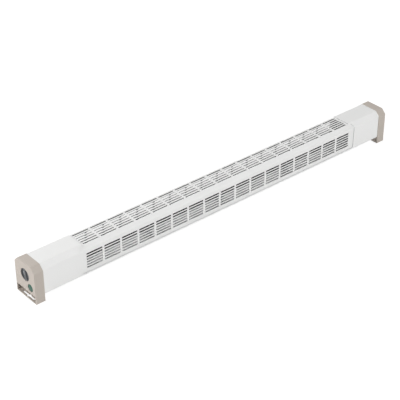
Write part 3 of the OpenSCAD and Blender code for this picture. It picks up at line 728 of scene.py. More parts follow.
class HEATER_OT_casing(bpy.types.Operator):
    """Folded steel casing with the window for the grille"""

    bl_idname = "heater.casing"
    bl_label = "Casing"

    def execute(self, context):
        sheet = context.scene.heater_sheet
        section = FoldedSection(sheet, 0.0)
        bm = bmesh.new()
        rows = [self.add_row(bm, sheet, section, s) for s in self.levels(sheet, section)]
        for here, there in zip(rows, rows[1:] + rows[:1]):
            strips = [(here[0], there[0]), (here[2], there[2])]
            if here[1] and there[1]:
                strips.append([row[0][-1:] + row[1] + row[2][:1] for row in (here, there)])
            for a, b in strips:
                for k in range(len(a) - 1):
                    bm.faces.new((a[k], a[k + 1], b[k + 1], b[k]))
        bmesh.ops.recalc_face_normals(bm, faces=bm.faces)
        casing = to_object("casing_sheet", bm, MATERIALS["coat"])
        # The cut edges are a little greyer than the faces: partly their thinner powder, partly painted shade
        # along the window's edge
        add_wall(casing, sheet.casing_wall, edge=MATERIALS["sheared_edge"])
        for node, margin in (("cable_grommet", GROMMET_GROOVE), ("floor_screws", None), ("cap_screws", None)):
            combine(casing, floor_holes(node, margin), "DIFFERENCE")
        soften(casing, sheet.edge_break)
        shade(casing)
        ride(casing, "body", "white_coating", "casing")
        return {"FINISHED"}

    def levels(self, sheet, section):
        """Distances round the duct at which the casing has a row of points, close on its curves."""
        sill = BODY_LOW + sheet.window_sill
        bevel_start, bevel_run = section.runs[TOP_BEVEL_RUN][:2]
        found = {0.0, section.girth, section.drop(sill)}
        found.update(section.folds(FOLD_STEPS))
        found.update(bevel_start + bevel_run * k / BEVEL_STEPS for k in range(BEVEL_STEPS + 1))
        for k in range(CORNER_STEPS + 1):
            rise = sheet.window_corner * (1 - math.cos(math.pi / 2 * k / CORNER_STEPS))
            found.add(section.drop(sill + rise))
        front = sorted(found)
        front = [s for i, s in enumerate(front) if i == 0 or s - front[i - 1] > SAME]
        return front + [-s for s in reversed(front[1:-1])]

    def add_row(self, bm, sheet, section, s):
        """Points along the casing at one level: a sleeve, the sheet under the window, a sleeve."""
        sill = BODY_LOW + sheet.window_sill
        place, _ = section.at(s)
        below = abs(s) >= section.drop(sill) - SAME
        half = window_half(sheet, sill if below else place.y)
        low, high = sheet.grille_shift - half, sheet.grille_shift + half
        spans = [(-BODY_X, low, SLEEVE_COLUMNS), (low, high, FLOOR_COLUMNS), (high, BODY_X, SLEEVE_COLUMNS)]
        row = [[a + (b - a) * k / count for k in range(count + 1)] for a, b, count in spans]
        row[1] = row[1][1:-1] if below else []
        return [[bm.verts.new((x, place.x, place.y)) for x in part] for part in row]


def add_wall(obj, wall, inner=None, edge=None):
    """Gives an open sheet its thickness, inwards from its outer face. The inner face and the
    cut edges may have finishes of their own."""
    thick = obj.modifiers.new("wall", "SOLIDIFY")
    thick.thickness = wall * MM
    thick.offset = -1.0
    thick.use_even_offset = True
    for setting, material in (("material_offset", inner), ("material_offset_rim", edge)):
        if material:
            setattr(thick, setting, len(obj.data.materials))
            obj.data.materials.append(material)
    return settle(obj)


def islands(node):
    """Box of every separate solid in a CAD node, in millimetres."""
    bm = bmesh.new()
    bm.from_mesh(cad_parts[node].data)
    bmesh.ops.remove_doubles(bm, verts=bm.verts, dist=WELD * MM)
    todo, found = set(bm.verts), []
    while todo:
        group, queue = [], [todo.pop()]
        while queue:
            vert = queue.pop()
            group.append(vert.co / MM)
            for edge in vert.link_edges:
                other = edge.other_vert(vert)
                if other in todo:
                    todo.remove(other)
                    queue.append(other)
        low = Vector([min(p[i] for p in group) for i in range(3)])
        high = Vector([max(p[i] for p in group) for i in range(3)])
        found.append((low, high))
    bm.free()
    return sorted(found, key=lambda b: (b[0].x, b[0].y))


# Hole for a floor screw, and how far its cutter runs on below and above the underside
SCREW_HOLE = 3.6
HOLE_BELOW = 1.0
HOLE_ABOVE = 3.0
# The grommet's groove takes this much of its radius on each side
GROMMET_GROOVE = 1.3


def floor_holes(node, margin):
    """Cutters for the holes that a node's solids need in the floor of the casing: a screw hole
    each, or where there is a margin a hole that much smaller than the solid."""
    parts = []
    for low, high in islands(node):
        centre = (low + high) / 2
        radius = (high.x - low.x) / 2 - margin if margin else SCREW_HOLE / 2
        ends = (BODY_LOW - HOLE_BELOW, BODY_LOW + HOLE_ABOVE)
        parts.append(upright(centre.xy, [(z, radius) for z in ends]))
    return solid("holes", *parts)


def slot_cell(sheet, width, pitch):
    """One cell of the punched pattern, a slot with its share of the sheet round it, flat in X and Y."""
    bm = bmesh.new()
    half_x, half_y = sheet.group_pitch / 2, pitch / 2
    corners = [(-1, -1), (1, -1), (1, 1), (-1, 1)]
    steps = 3
    slot = rounded(
        [(cx * sheet.slot_length / 2, cy * width / 2) for cx, cy in corners], [sheet.slot_corner] * 4, steps
    )
    rim = [bm.verts.new((p.x, p.y, 0)) for p in slot]
    outer = [bm.verts.new((cx * half_x, cy * half_y, 0)) for cx, cy in corners]
    for c in range(4):
        first = c * (steps + 1)
        for k in range(steps):
            bm.faces.new((outer[c], rim[first + k + 1], rim[first + k]))
        after = ((c + 1) * (steps + 1)) % len(rim)
        bm.faces.new((outer[c], outer[(c + 1) % 4], rim[after], rim[first + steps]))
    return to_object("slot_cell", bm)


def repeating_tree(name, inputs):
    """A Geometry Nodes tree with named inputs: the tree, their sockets and their identifiers."""
    tree = bpy.data.node_groups.new(name, "GeometryNodeTree")
    sockets = {}
    for label, kind in (("Geometry", "Geometry"),) + inputs:
        socket = tree.interface.new_socket(label, in_out="INPUT", socket_type="NodeSocket" + kind)
        sockets[label] = socket.identifier
    tree.interface.new_socket("Geometry", in_out="OUTPUT", socket_type="NodeSocketGeometry")
    return tree, add_node(tree, "NodeGroupInput").outputs, sockets


def copies_on(tree, mesh, inputs):
    """One real copy on each point of a mesh."""
    points = add_node(tree, "GeometryNodeMeshToPoints", {"Mesh": mesh}).outputs["Points"]
    place = add_node(tree, "GeometryNodeInstanceOnPoints", {"Points": points, **inputs})
    real = add_node(tree, "GeometryNodeRealizeInstances", {"Geometry": place.outputs["Instances"]})
    return real.outputs["Geometry"]


def end_tree(tree, geometry, material):
    """Sets the material and ends the tree."""
    coat = add_node(tree, "GeometryNodeSetMaterial", {"Geometry": geometry, "Material": material})
    add_node(tree, "NodeGroupOutput", {0: coat.outputs["Geometry"]})


def punching_tree(name, material):
    """Geometry Nodes that repeat one cell over columns and rows and join the copies."""
    inputs = (
        ("Columns", "Int"),
        ("Rows", "Int"),
        ("Column pitch", "Float"),
        ("Row pitch", "Float"),
        ("Centre", "Vector"),
    )
    tree, given, sockets = repeating_tree(name, inputs)
    grid_inputs = {"Vertices X": given["Columns"], "Vertices Y": given["Rows"]}
    for side, count, pitch in (("Size X", "Columns", "Column pitch"), ("Size Y", "Rows", "Row pitch")):
        gaps = add_node(tree, "ShaderNodeMath", {0: given[count], 1: 1.0}, operation="SUBTRACT").outputs[0]
        span = add_node(tree, "ShaderNodeMath", {0: gaps, 1: given[pitch]}, operation="MULTIPLY")
        grid_inputs[side] = span.outputs[0]
    grid = add_node(tree, "GeometryNodeMeshGrid", grid_inputs).outputs["Mesh"]
    move = add_node(tree, "GeometryNodeTransform", {"Geometry": grid, "Translation": given["Centre"]})
    real = copies_on(tree, move.outputs["Geometry"], {"Instance": given["Geometry"]})
    weld = add_node(tree, "GeometryNodeMergeByDistance", {"Geometry": real, "Distance": WELD * MM})
    end_tree(tree, weld.outputs["Geometry"], material)
    return tree, sockets


def repeat(obj, tree, sockets, **values):
    """Runs the tree on an object with its named inputs set, and keeps the plain mesh."""
    modifier = obj.modifiers.new(tree.name, "NODES")
    modifier.node_group = tree
    for label, value in values.items():
        modifier[sockets[label.replace("_", " ")]] = value
    return settle(obj)


class HEATER_OT_grille(bpy.types.Operator):
    """Punched grille, drawn flat and folded to the duct's section"""

    bl_idname = "heater.grille"
    bl_label = "Grille"

    def execute(self, context):
        sheet = context.scene.heater_sheet
        section = FoldedSection(sheet, sheet.casing_wall + sheet.grille_fit)
        tree, sockets = punching_tree("punching", MATERIALS["coat"])
        side_height = BODY_LOW + sheet.side_base + (sheet.rows - 1) * sheet.side_pitch / 2
        front_s = section.drop(side_height)
        back_s = section.drop(side_height + sheet.back_rise)
        blocks = [
            (front_s, sheet.side_slot, sheet.side_pitch),
            (-back_s, sheet.side_slot, sheet.side_pitch),
            (sheet.top_shift, sheet.top_slot, sheet.top_pitch),
        ]
        bm = bmesh.new()
        for centre, width, pitch in blocks:
            cell = slot_cell(sheet, width, pitch)
            repeat(
                cell,
                tree,
                sockets,
                Columns=sheet.groups,
                Rows=sheet.rows,
                Column_pitch=sheet.group_pitch * MM,
                Row_pitch=pitch * MM,
                Centre=(sheet.grille_shift * MM, centre * MM, 0.0),
            )
            bm.from_mesh(cell.data)
            discard(cell)
        bmesh.ops.transform(bm, matrix=Matrix.Scale(1 / MM, 4), verts=bm.verts)
        self.add_plain(bm, sheet, section, blocks)
        # The tree gave its cells a slot of their own
        for face in bm.faces:
            face.material_index = 0
        bmesh.ops.remove_doubles(bm, verts=bm.verts, dist=WELD)
        for vert in bm.verts:
            place, _ = section.at(vert.co.y)
            vert.co = (vert.co.x, place.x, place.y)
        bmesh.ops.recalc_face_normals(bm, faces=bm.faces)
        grille = to_object("grille_sheet", bm, MATERIALS["coat"])
        self.face_outwards(grille)
        # The inner face is a matt grey painted shade that darkens the inside of the duct
        add_wall(grille, sheet.grille_wall, inner=MATERIALS["inner_face"])
        soften(grille, sheet.edge_break)
        shade(grille)
        ride(grille, "body", "white_coating", "grille")
        return {"FINISHED"}

    def add_plain(self, bm, sheet, section, blocks):
        """The plain sheet round and between the punched blocks."""
        first = sheet.grille_shift - sheet.groups * sheet.group_pitch / 2
        columns = [first + k * sheet.group_pitch for k in range(sheet.groups + 1)]
        low, high = box_mm("grille")
        columns = [low.x] + columns + [high.x]
        lip, _, lip_point, _, _ = section.runs[LOW_BEVEL_RUN]
        end = lip + (lip_point.y - low.z) * math.sqrt(2)
        levels = {end, -end}
        bands = []
        for centre, _, pitch in blocks:
            edges = [centre + (k - sheet.rows / 2) * pitch for k in range(sheet.rows + 1)]
            levels.update(edges)
            bands.append((edges[0], edges[-1]))
        for s in section.folds(FOLD_STEPS):
            for level in (s, -s):
                if abs(level) < end and not any(a + SAME < level < b - SAME for a, b in bands):
                    levels.add(level)
        levels = sorted(levels)
        levels = [s for i, s in enumerate(levels) if i == 0 or s - levels[i - 1] > SAME]
        grid = [[bm.verts.new((x, s, 0)) for x in columns] for s in levels]
        for j in range(len(levels) - 1):
            middle = (levels[j] + levels[j + 1]) / 2
            punched = any(a < middle < b for a, b in bands)
            for i in range(len(columns) - 1):
                if punched and 0 < i < len(columns) - 2:
                    continue
                bm.faces.new((grid[j][i], grid[j][i + 1], grid[j + 1][i + 1], grid[j + 1][i]))

    def face_outwards(self, obj):
        """Turns the sheet's faces if the top ones point down."""
        top = max(obj.data.polygons, key=lambda p: p.center.z)
        if top.normal.z < 0:
            obj.data.flip_normals()


# End caps


def cap_outline(cap, inset, bottom=0.0, corner=None):
    """Outline of a cap in Y and Z, inset by a distance."""
    half = CAP_HALF - inset
    top = CAP_TOP - inset
    high = cap.bevel - inset * BEVEL_SHARE
    blend = cap.blend - inset
    low = bottom if bottom else inset
    foot = cap.foot_corner if corner is None else corner
    lower = [(-half, low), (half, low)]
    upper = [(half, top - high), (half - high, top), (high - half, top), (-half, top - high)]
    return rounded(lower + upper, [foot] * 2 + [blend] * 4, FOLD_STEPS)


def body_outline(sheet, inset, bottom=None):
    """Outline of the duct in Y and Z, inset by a distance, cut off at a height if one is given."""
    half = BODY_HALF - inset
    top = BODY_TOP - inset
    high = sheet.top_bevel - inset * BEVEL_SHARE
    radius = max(sheet.fold_radius - inset, INNER_CORNER)
    upper = [(half, top - high), (half - high, top), (high - half, top), (-half, top - high)]
    if bottom is not None:
        lower = [(-half, bottom), (half, bottom)]
        return rounded(lower + upper, [INNER_CORNER] * 2 + [radius] * 4, FOLD_STEPS)
    low = sheet.bottom_bevel - inset * BEVEL_SHARE
    floor = BODY_LOW + inset
    lower = [(-half, floor + low), (low - half, floor), (half - low, floor), (half, floor + low)]
    return rounded(lower + upper, [radius] * 8, FOLD_STEPS)


def foot_outline(cap, top, grow):
    """Outline of the foot's opening, grown by a distance."""
    half = CAP_HALF - cap.jamb + grow
    low, high = cap.plate - grow, top + grow
    return rounded([(-half, low), (half, low), (half, high), (-half, high)], [INNER_CORNER] * 4, steps=3)


# Steps of each round stretch of the fixing slot
SLOT_STEPS = 8


def fixing_outline(cap):
    """Outline of the fixing slot with its round middle, as (inward, y) points."""
    width, eye = cap.slot_width / 2, cap.slot_eye / 2
    reach = cap.slot_length / 2 - width
    neck = math.asin(width / eye)
    points = []
    for end in (1, -1):
        for k in range(SLOT_STEPS + 1):
            a = math.pi * k / SLOT_STEPS
            points.append((end * width * math.cos(a), end * (reach + width * math.sin(a))))
        for k in range(SLOT_STEPS + 1):
            a = math.pi / 2 + neck + (math.pi - 2 * neck) * k / SLOT_STEPS
            points.append((end * eye * math.cos(a), end * eye * math.sin(a)))
    return [(cap.slot_in + u, y) for u, y in points]


# How far a cutter runs on past what it cuts
OVERRUN = 1.0
# Inner corners of the mouldings, and the rounding of the edges of their openings
INNER_CORNER = 0.4
CHANNEL_EDGE = 0.5
DIAL_HOLE_EDGE = 0.6
ROCKER_HOLE_EDGE = 0.4
# Radius of a bracket post, and of the fillet at its foot
POST_R = 3.0
POST_FOOT = 0.6


def cap_shell(name, side, cap, sheet):
    """One cap with its foot, hollow and spigot, its outer face at the end of the heater."""
    rings = [along_x(side, u, cap_outline(cap, t)) for u, t in quarter(cap.rim)]
    rings += [along_x(side, CAP_LEN - u, cap_outline(cap, t)) for u, t in reversed(list(quarter(cap.lip)))]
    shell = solid(name, rings, material=MATERIALS["moulding"])
    gap = sheet.casing_wall + cap.spigot_fit
    bore = gap + cap.spigot_wall
    ceiling = cap.opening + cap.wall
    inner = CAP_LEN - cap.wall
    slot = fixing_outline(cap)
    if side > 0:
        slot.reverse()
    channel = [along_x(side, -OVERRUN, foot_outline(cap, cap.opening, CHANNEL_EDGE))]
    channel += [along_x(side, u, foot_outline(cap, cap.opening, t)) for u, t in quarter(CHANNEL_EDGE)]
    channel.append(along_x(side, inner, foot_outline(cap, cap.opening, 0.0)))

    def straight(ends, outline):
        return [along_x(side, u, outline) for u in ends]

    through = (inner - OVERRUN, CAP_LEN + OVERRUN)
    plug = straight((CAP_LEN - cap.wall / 2, CAP_LEN + cap.spigot), body_outline(sheet, gap))
    combine(shell, solid("plug", plug), "UNION")
    for label, cutter in (
        ("hollow", straight((cap.wall, inner), cap_outline(cap, cap.wall, ceiling, INNER_CORNER))),
        ("throat", straight(through, body_outline(sheet, bore, ceiling))),
        ("mouth", straight((CAP_LEN, CAP_LEN + cap.spigot + OVERRUN), body_outline(sheet, bore))),
        ("channel", channel),
        ("through", straight(through, foot_outline(cap, cap.inner_opening, 0.0))),
        ("fixing", [[(side * (END_X - u), y, z) for u, y in slot] for z in (-OVERRUN, cap.plate + OVERRUN)]),
    ):
        combine(shell, solid(label, cutter), "DIFFERENCE")
    return shell


def hole_cutter(centre, radius, depth, break_edge):
    """Cutter for a round hole in the control cap's face, with a rounded mouth."""
    profile = [(-OVERRUN, radius + break_edge)]
    profile += [(u, radius + t) for u, t in quarter(break_edge)]
    profile.append((depth, radius))
    return solid("hole", turned(-1, centre, profile, BROAD_TURN))


class HEATER_OT_caps(bpy.types.Operator):
    """Moulded end caps with their feet"""

    bl_idname = "heater.caps"
    bl_label = "End caps"

    def execute(self, context):
        cap = context.scene.heater_cap
        sheet = context.scene.heater_sheet
        controls = context.scene.heater_controls
        plain = cap_shell("plain_cap_moulding", 1, cap, sheet)
        shade(plain)
        ride(plain, "body", "beige_moulding", "plain_end_cap")
        front = cap_shell("control_cap_moulding", -1, cap, sheet)
        rocker_at = (controls.rocker_y, controls.rocker_z)
        rocker_r = controls.rocker / 2 + controls.rocker_gap
        for centre, radius, edge in (
            ((0, DIAL_Z), DIAL_R + controls.dial_gap, DIAL_HOLE_EDGE),
            (rocker_at, rocker_r, ROCKER_HOLE_EDGE),
        ):
            combine(front, hole_cutter(centre, radius, cap.wall + OVERRUN, edge), "DIFFERENCE")
        # Two posts on the back of the face carry the thermostat's bracket
        low, high = box_mm("thermostat_screws")
        post_y = high.y - (high.z - low.z) / 2
        plate = END_X + box_mm("thermostat_bracket")[0].x
        post = [(cap.wall - POST_FOOT, POST_R + POST_FOOT), (cap.wall + POST_FOOT, POST_R), (plate, POST_R)]
        for side in (-1, 1):
            combine(front, solid("post", turned(-1, (side * post_y, DIAL_Z), post, SMALL_TURN)), "UNION")
        shade(front)
        ride(front, "body", "beige_moulding", "control_end_cap")
        return {"FINISHED"}


# Dial and rocker


def hollow_outline(radius, chord, corner):
    """A disc cut off below a chord, with its two corners rounded, centred on the origin."""
    reach = math.sqrt((radius - corner) ** 2 - (chord + corner) ** 2)
    lift = math.atan2(chord + corner, reach)
    arcs = [
        ((reach, chord + corner), corner, -math.pi / 2, lift, SOFT_STEPS),
        ((0.0, 0.0), radius, lift, math.pi - lift, BROAD_TURN // 4),
        ((-reach, chord + corner), corner, math.pi - lift, math.pi * 1.5, SOFT_STEPS),
    ]
    points = []
    for (x, y), r, start, end, steps in arcs:
        turns = [start + (end - start) * k / steps for k in range(steps + 1)]
        points += [Vector((x + r * math.cos(a), y + r * math.sin(a))) for a in turns]
    return points


# Radius of the small flat that closes the pole of a turned solid
POLE = 0.05
# Dial, in millimetres: rounding of its front edge with a narrow flat inside it, bevel of its back
# edge, least plastic over the shaft, radius of the hub and of the fillet at its foot, shaft radius
DIAL_EDGE = 0.6
DIAL_FLAT = 0.1
DIAL_BACK_EDGE = 0.3
DIAL_SKIN = 1.2
HUB_R = 5.0
HUB_FILLET = 0.4
SHAFT_R = 3.1
# Finger hollows: rounding of the lip, of the floor and of the corners
HOLLOW_LIP = 0.5
HOLLOW_FILLET = 0.9
HOLLOW_CORNER = 1.6
# Painted highlight strokes on the bar's edge: how far they lie off the middle of the bar, half their width,
# and the height of each
MARK_ASIDE = 2.35
MARK_HALF = 0.7
MARK_HEIGHTS = ((3.4, 5.9), (-0.9, 1.7))
MARK_CORNER = 0.5
# How far the painted strokes stand on the bar and reach into it, and the break of their edge
STROKE_ABOVE = 0.06
STROKE_BELOW = 0.2
MARK_EDGE = 0.04


class HEATER_OT_dial(bpy.types.Operator):
    """Thermostat dial with its grip bar and two light strokes that paint the highlight of the bar's edge"""

    bl_idname = "heater.dial"
    bl_label = "Dial"

    def execute(self, context):
        controls = context.scene.heater_controls
        centre = (0.0, DIAL_Z)
        radius = DIAL_R
        face = controls.dial_sink
        back = face + controls.dial_disc
        hub_end = END_X + DIAL_HIGH.x
        bore_end = face + controls.hollow + DIAL_SKIN
        profile = [(face, POLE), (face, radius - DIAL_EDGE - DIAL_FLAT)]
        profile += [(face + u, radius - t) for u, t in quarter(DIAL_EDGE)]
        profile += [(back - DIAL_BACK_EDGE, radius), (back, radius - DIAL_BACK_EDGE)]
        profile += [(back, HUB_R + HUB_FILLET), (back + HUB_FILLET, HUB_R), (hub_end, HUB_R)]
        profile += [(hub_end, SHAFT_R), (bore_end, SHAFT_R), (bore_end, POLE)]
        knob = solid("dial_knob", turned(-1, centre, profile, BROAD_TURN), material=MATERIALS["knob"])
        reach, chord = radius - controls.dial_rim, controls.grip_width / 2
        steps = [(-OVERRUN, HOLLOW_LIP)] + list(quarter(HOLLOW_LIP))
        steps += [(controls.hollow - t, -u) for u, t in quarter(HOLLOW_FILLET)]
        for way in (-1, 1):
            spin = Matrix.Rotation(-controls.grip_turn - way * math.pi / 2, 2)
            rings = []
            for inward, grow in steps:
                outline = hollow_outline(reach + grow, chord - grow, HOLLOW_CORNER + grow)
                rings.append(along_x(-1, face + inward, [Vector(centre) + spin @ p for p in outline]))
            combine(knob, solid("hollow", rings), "DIFFERENCE")
        shade(knob, angle=40)
        ride(knob, "dial", "dark_knob", "thermostat_dial")
        self.add_highlight_marks(controls, centre)
        return {"FINISHED"}

    def add_highlight_marks(self, controls, centre):
        """Two short light strokes near one edge of the grip bar, a painted highlight of that edge."""
        spin = Matrix.Rotation(-controls.grip_turn, 2)
        crest = controls.dial_sink
        near, far = MARK_ASIDE - MARK_HALF, MARK_ASIDE + MARK_HALF
        parts = []
        for low, high in MARK_HEIGHTS:
            corners = [(near, low), (far, low), (far, high), (near, high)]
            corners = rounded(corners, [MARK_CORNER] * 4, steps=4)
            outline = [Vector(centre) + spin @ p for p in corners]
            parts.append([along_x(-1, u, outline) for u in (crest - STROKE_ABOVE, crest + STROKE_BELOW)])
        marks = solid("dial_marks", *parts, material=MATERIALS["mark"])
        soften(marks, MARK_EDGE)
        shade(marks, angle=40)
        ride(marks, "dial", "dark_knob")


# Rocker, in millimetres: its pivot behind the outer face, its back behind the pivot, how much its
# face bulges, the rounding of its edge, and its pins
ROCKER_PIVOT = 3.2
ROCKER_BACK = 2.2
ROCKER_CROWN = 0.55
ROCKER_EDGE = 0.9
CROWN_STEPS = 8
PIN_R = 0.5
PIN_EDGE = 0.1


class HEATER_OT_rocker(bpy.types.Operator):
    """Round green rocker of the mains switch"""

    bl_idname = "heater.rocker"
    bl_label = "Rocker"

    def execute(self, context):
        controls = context.scene.heater_controls
        low, high = box_mm("switch_rocker")
        radius = controls.rocker / 2
        flat = radius - ROCKER_EDGE
        crest = controls.rocker_sink - ROCKER_PIVOT
        profile = []
        for k in range(CROWN_STEPS + 1):
            r = flat * k / CROWN_STEPS
            profile.append((crest + ROCKER_CROWN * (r / radius) ** 2, max(r, POLE)))
        shoulder = crest + ROCKER_CROWN * (flat / radius) ** 2
        profile += [(shoulder + u, radius - t) for u, t in list(quarter(ROCKER_EDGE))[1:]]
        profile += [(ROCKER_BACK - INNER_CORNER, radius), (ROCKER_BACK, radius - INNER_CORNER)]
        profile.append((ROCKER_BACK, POLE))
        tilt = Matrix.Rotation(controls.rocker_tilt, 3, "Z")
        origin = Vector((ROCKER_PIVOT - END_X, controls.rocker_y, controls.rocker_z))
        rings = [[origin + tilt @ Vector((u, r * y, r * z)) for y, z in circle(TURN)] for u, r in profile]
        rocker = solid("switch_button", rings, material=MATERIALS["lens"])
        tip = PIN_R - PIN_EDGE
        pin = [(low.z, tip), (low.z + PIN_EDGE, PIN_R), (high.z - PIN_EDGE, PIN_R), (high.z, tip)]
        combine(rocker, solid("pins", upright(origin.xy, pin, TURN)), "UNION")
        shade(rocker, angle=40)
        ride(rocker, "rocker", "green_rocker", "switch_rocker")
        return {"FINISHED"}


# Element, fixings and the parts that keep their CAD shape


# Gap between a fin and the rod, and the bevel of a fin's edge, in millimetres
FIN_FIT = 0.05
FIN_EDGE = 0.2
# Steps round a fin, few because there are many fins
FIN_TURN = 40


class HEATER_OT_element(bpy.types.Operator):
    """Pressed fins of the element, repeated along the rod"""

    bl_idname = "heater.element"
    bl_label = "Element"

    def execute(self, context):
        element = context.scene.heater_element
        low, high = box_mm("element_fins")
        centre = (low + high) / 2
        half = element.fin_wall / 2
        outer, inner = element.fin / 2, element.rod / 2 + FIN_FIT
        edge = outer - FIN_EDGE
        profile = [(-half, inner), (-half, edge), (0, outer), (half, edge), (half, inner)]
        rings = [[(x, centre.y + r * u, centre.z + r * v) for u, v in circle(FIN_TURN)] for x, r in profile]
        fin = hoop("fin_pack", rings, MATERIALS["fin"])
        tree, sockets = punching_tree("fin_row", MATERIALS["fin"])
        repeat(
            fin,
            tree,
            sockets,
            Columns=element.fins,
            Rows=1,
            Column_pitch=element.fin_pitch * MM,
            Row_pitch=0.0,
            Centre=(centre.x * MM, 0.0, 0.0),
        )
        shade(fin)
        ride(fin, "body", "dark_fin", "element_fins")
        return {"FINISHED"}


def screw_tree(material):
    """Geometry Nodes that set one screw, turned by chance, on every point of a mesh."""
    tree, given, sockets = repeating_tree("screw_row", (("Screw", "Object"), ("Turn spread", "Float")))
    screw = add_node(tree, "GeometryNodeObjectInfo", {"Object": given["Screw"]}).outputs["Geometry"]
    chance = {"Seed": 7, 3: given["Turn spread"]}
    turn = add_node(tree, "FunctionNodeRandomValue", chance, data_type="FLOAT").outputs[1]
    spin = add_node(tree, "ShaderNodeCombineXYZ", {"Z": turn}).outputs["Vector"]
    end_tree(tree, copies_on(tree, given["Geometry"], {"Instance": screw, "Rotation": spin}), material)
    return tree, sockets


# Screws, in millimetres: height of the head, its crown as (height, distance in from the rim),
# radius of the shank, length and depth of the point's taper, and the break of the edges
HEAD_H = 1.6
HEAD_CROWN = ((0.0, 1.2), (0.25, 0.5), (0.8, 0.08))
SHANK_R = 1.7
TIP_LEN = 0.5
TIP_IN = 0.6
SCREW_EDGE = 0.06
# Cross recess: half its length and width, and the share of that size at each height
CROSS_LONG = 1.7
CROSS_WIDE = 0.42
CROSS_SHARES = ((-0.5, 1.0), (0.9, 0.55))
# Grommet: radius of its bore and of its groove, height and rounding of a lip, how much a lip
# narrows towards the sheet, and the flare of the bore as (depth, growth of the radius)
GROMMET_BORE = 3.3
GROMMET_NECK = 4.5
GROMMET_LIP = 1.4
GROMMET_EDGE = 0.6
GROMMET_TAPER = 0.1
GROMMET_FLARE = ((0.5, 0.0), (0.15, 0.15), (0.0, 0.5))
GROMMET_TURN = 48


class HEATER_OT_fixings(bpy.types.Operator):
    """Screws in the underside and the rubber grommet of the cord entry"""

    bl_idname = "heater.fixings"
    bl_label = "Fixings"

    def execute(self, context):
        places = islands("floor_screws") + islands("cap_screws")
        low, high = places[0]
        head_r = (high.x - low.x) / 2
        reach = high.z - low.z
        # Height and radius, from the crown of the head up to the tip
        profile = [(0.0, POLE)] + [(z, head_r - inset) for z, inset in HEAD_CROWN]
        profile += [(HEAD_H, head_r), (HEAD_H, SHANK_R)]
        profile += [(reach - TIP_LEN, SHANK_R), (reach, SHANK_R - TIP_IN), (reach, POLE)]
        screw = solid("screw", upright((0.0, 0.0), profile), material=MATERIALS["zinc"])
        corners = [Vector(p) for p in ((-1, -1), (1, -1), (1, 1), (-1, 1))]
        for turn in (0.0, math.pi / 2):
            spin = Matrix.Rotation(turn, 2)
            outer = [spin @ Vector((c.x * CROSS_LONG, c.y * CROSS_WIDE)) for c in corners]
            recess = [[(p.x * share, p.y * share, z) for p in outer] for z, share in CROSS_SHARES]
            combine(screw, solid("recess", recess), "DIFFERENCE")
        soften(screw, SCREW_EDGE, angle=40)
        shade(screw, angle=40)
        bm = bmesh.new()
        for low, high in places:
            centre = (low + high) / 2
            bm.verts.new((centre.x, centre.y, low.z))
        screws = to_object("underside_screws", bm, MATERIALS["zinc"])
        tree, sockets = screw_tree(MATERIALS["zinc"])
        repeat(screws, tree, sockets, Screw=screw, Turn_spread=math.pi)
        discard(screw)
        ride(screws, "body", "zinc_screw", "floor_screws", "cap_screws")
        self.add_grommet()
        return {"FINISHED"}

    def add_grommet(self):
        """Turned grommet with rounded lips above and below the sheet."""
        low, high = box_mm("cable_grommet")
        centre = (low + high) / 2
        outer = (high.x - low.x) / 2
        profile = []
        for start, way in ((low.z, 1), (high.z, -1)):
            bore = [(depth, GROMMET_BORE + growth) for depth, growth in GROMMET_FLARE]
            edge = [(u, outer - t) for u, t in quarter(GROMMET_EDGE)]
            waist = [(GROMMET_LIP, outer - GROMMET_TAPER), (GROMMET_LIP, GROMMET_NECK)]
            part = [(start + way * u, r) for u, r in bore + edge + waist]
            profile += part if way > 0 else reversed(part)
        grommet = hoop("cord_grommet", upright(centre.xy, profile, GROMMET_TURN), MATERIALS["rubber"])
        shade(grommet, angle=50)
        ride(grommet, "body", "black_rubber", "cable_grommet")


class HEATER_OT_inside(bpy.types.Operator):
    """Finishes of the parts that keep their CAD shape"""

    bl_idname = "heater.inside"
    bl_label = "Inside"

    def execute(self, context):
        for material, nodes in (
            (hot_dipped("galvanised_sheet", "A9ACAE", 9), "left_bulkhead right_bulkhead thermostat_bracket"),
            (hot_dipped("galvanised_clip", "9EA1A3", 5), "bulb_clip cord_clamp element_brackets"),
            (hot_dipped("aluminised_sheet", "DCDDDD", 16, 0.6), "heat_reflector"),
            (MATERIALS["zinc"], "thermostat_screws cutout_screws cord_clamp_screws reflector_rivets"),
            (MATERIALS["zinc"], "element_terminals thermostat_spindle"),
            (plated("tinned_copper", "B4B5B2", 0.35), "capillary_tube sensor_bulb"),
            (plated("brass", "C9A45C", 0.3), "switch_tabs terminal_screws earth_stud"),
            (moulded("brown_phenolic", "4A2A1D", 0.3), "thermostat_body overheat_cutout"),
            (moulded("black_nylon", "2A2B2C", 0.5), "switch_housing"),
            (moulded("white_nylon", "E4E1DA", 0.5), "terminal_block"),
            (moulded("steatite", "E6E0D0", 0.7, 0.25), "element_bushes"),
            (heat_darkened("oxidised_sheath", linear("2A2827"), 0.55), "element_rod"),
            (sleeving("brown_sleeving", "6B3A22"), "supply_lead switched_lead cutout_lead element_lead"),
            (sleeving("blue_sleeving", "2F5C94"), "return_lead"),
            (sleeving("green_yellow_sleeving", "7C9A35"), "earth_lead"),
        ):
            for node in nodes.split():
                dress(node, material)
        return {"FINISHED"}


# Stage

# Camera, in metres: its place, its heading from +Y towards +X, and how far it looks down
CAMERA_PLACE = (-1.3293, -1.5140, 1.3148)
CAMERA_HEADING = math.radians(40.33)
CAMERA_DOWN = math.radians(32.76)
# Width of its sensor, in millimetres, and how far it sees, in metres
SENSOR = 36
FAR_CLIP = 50
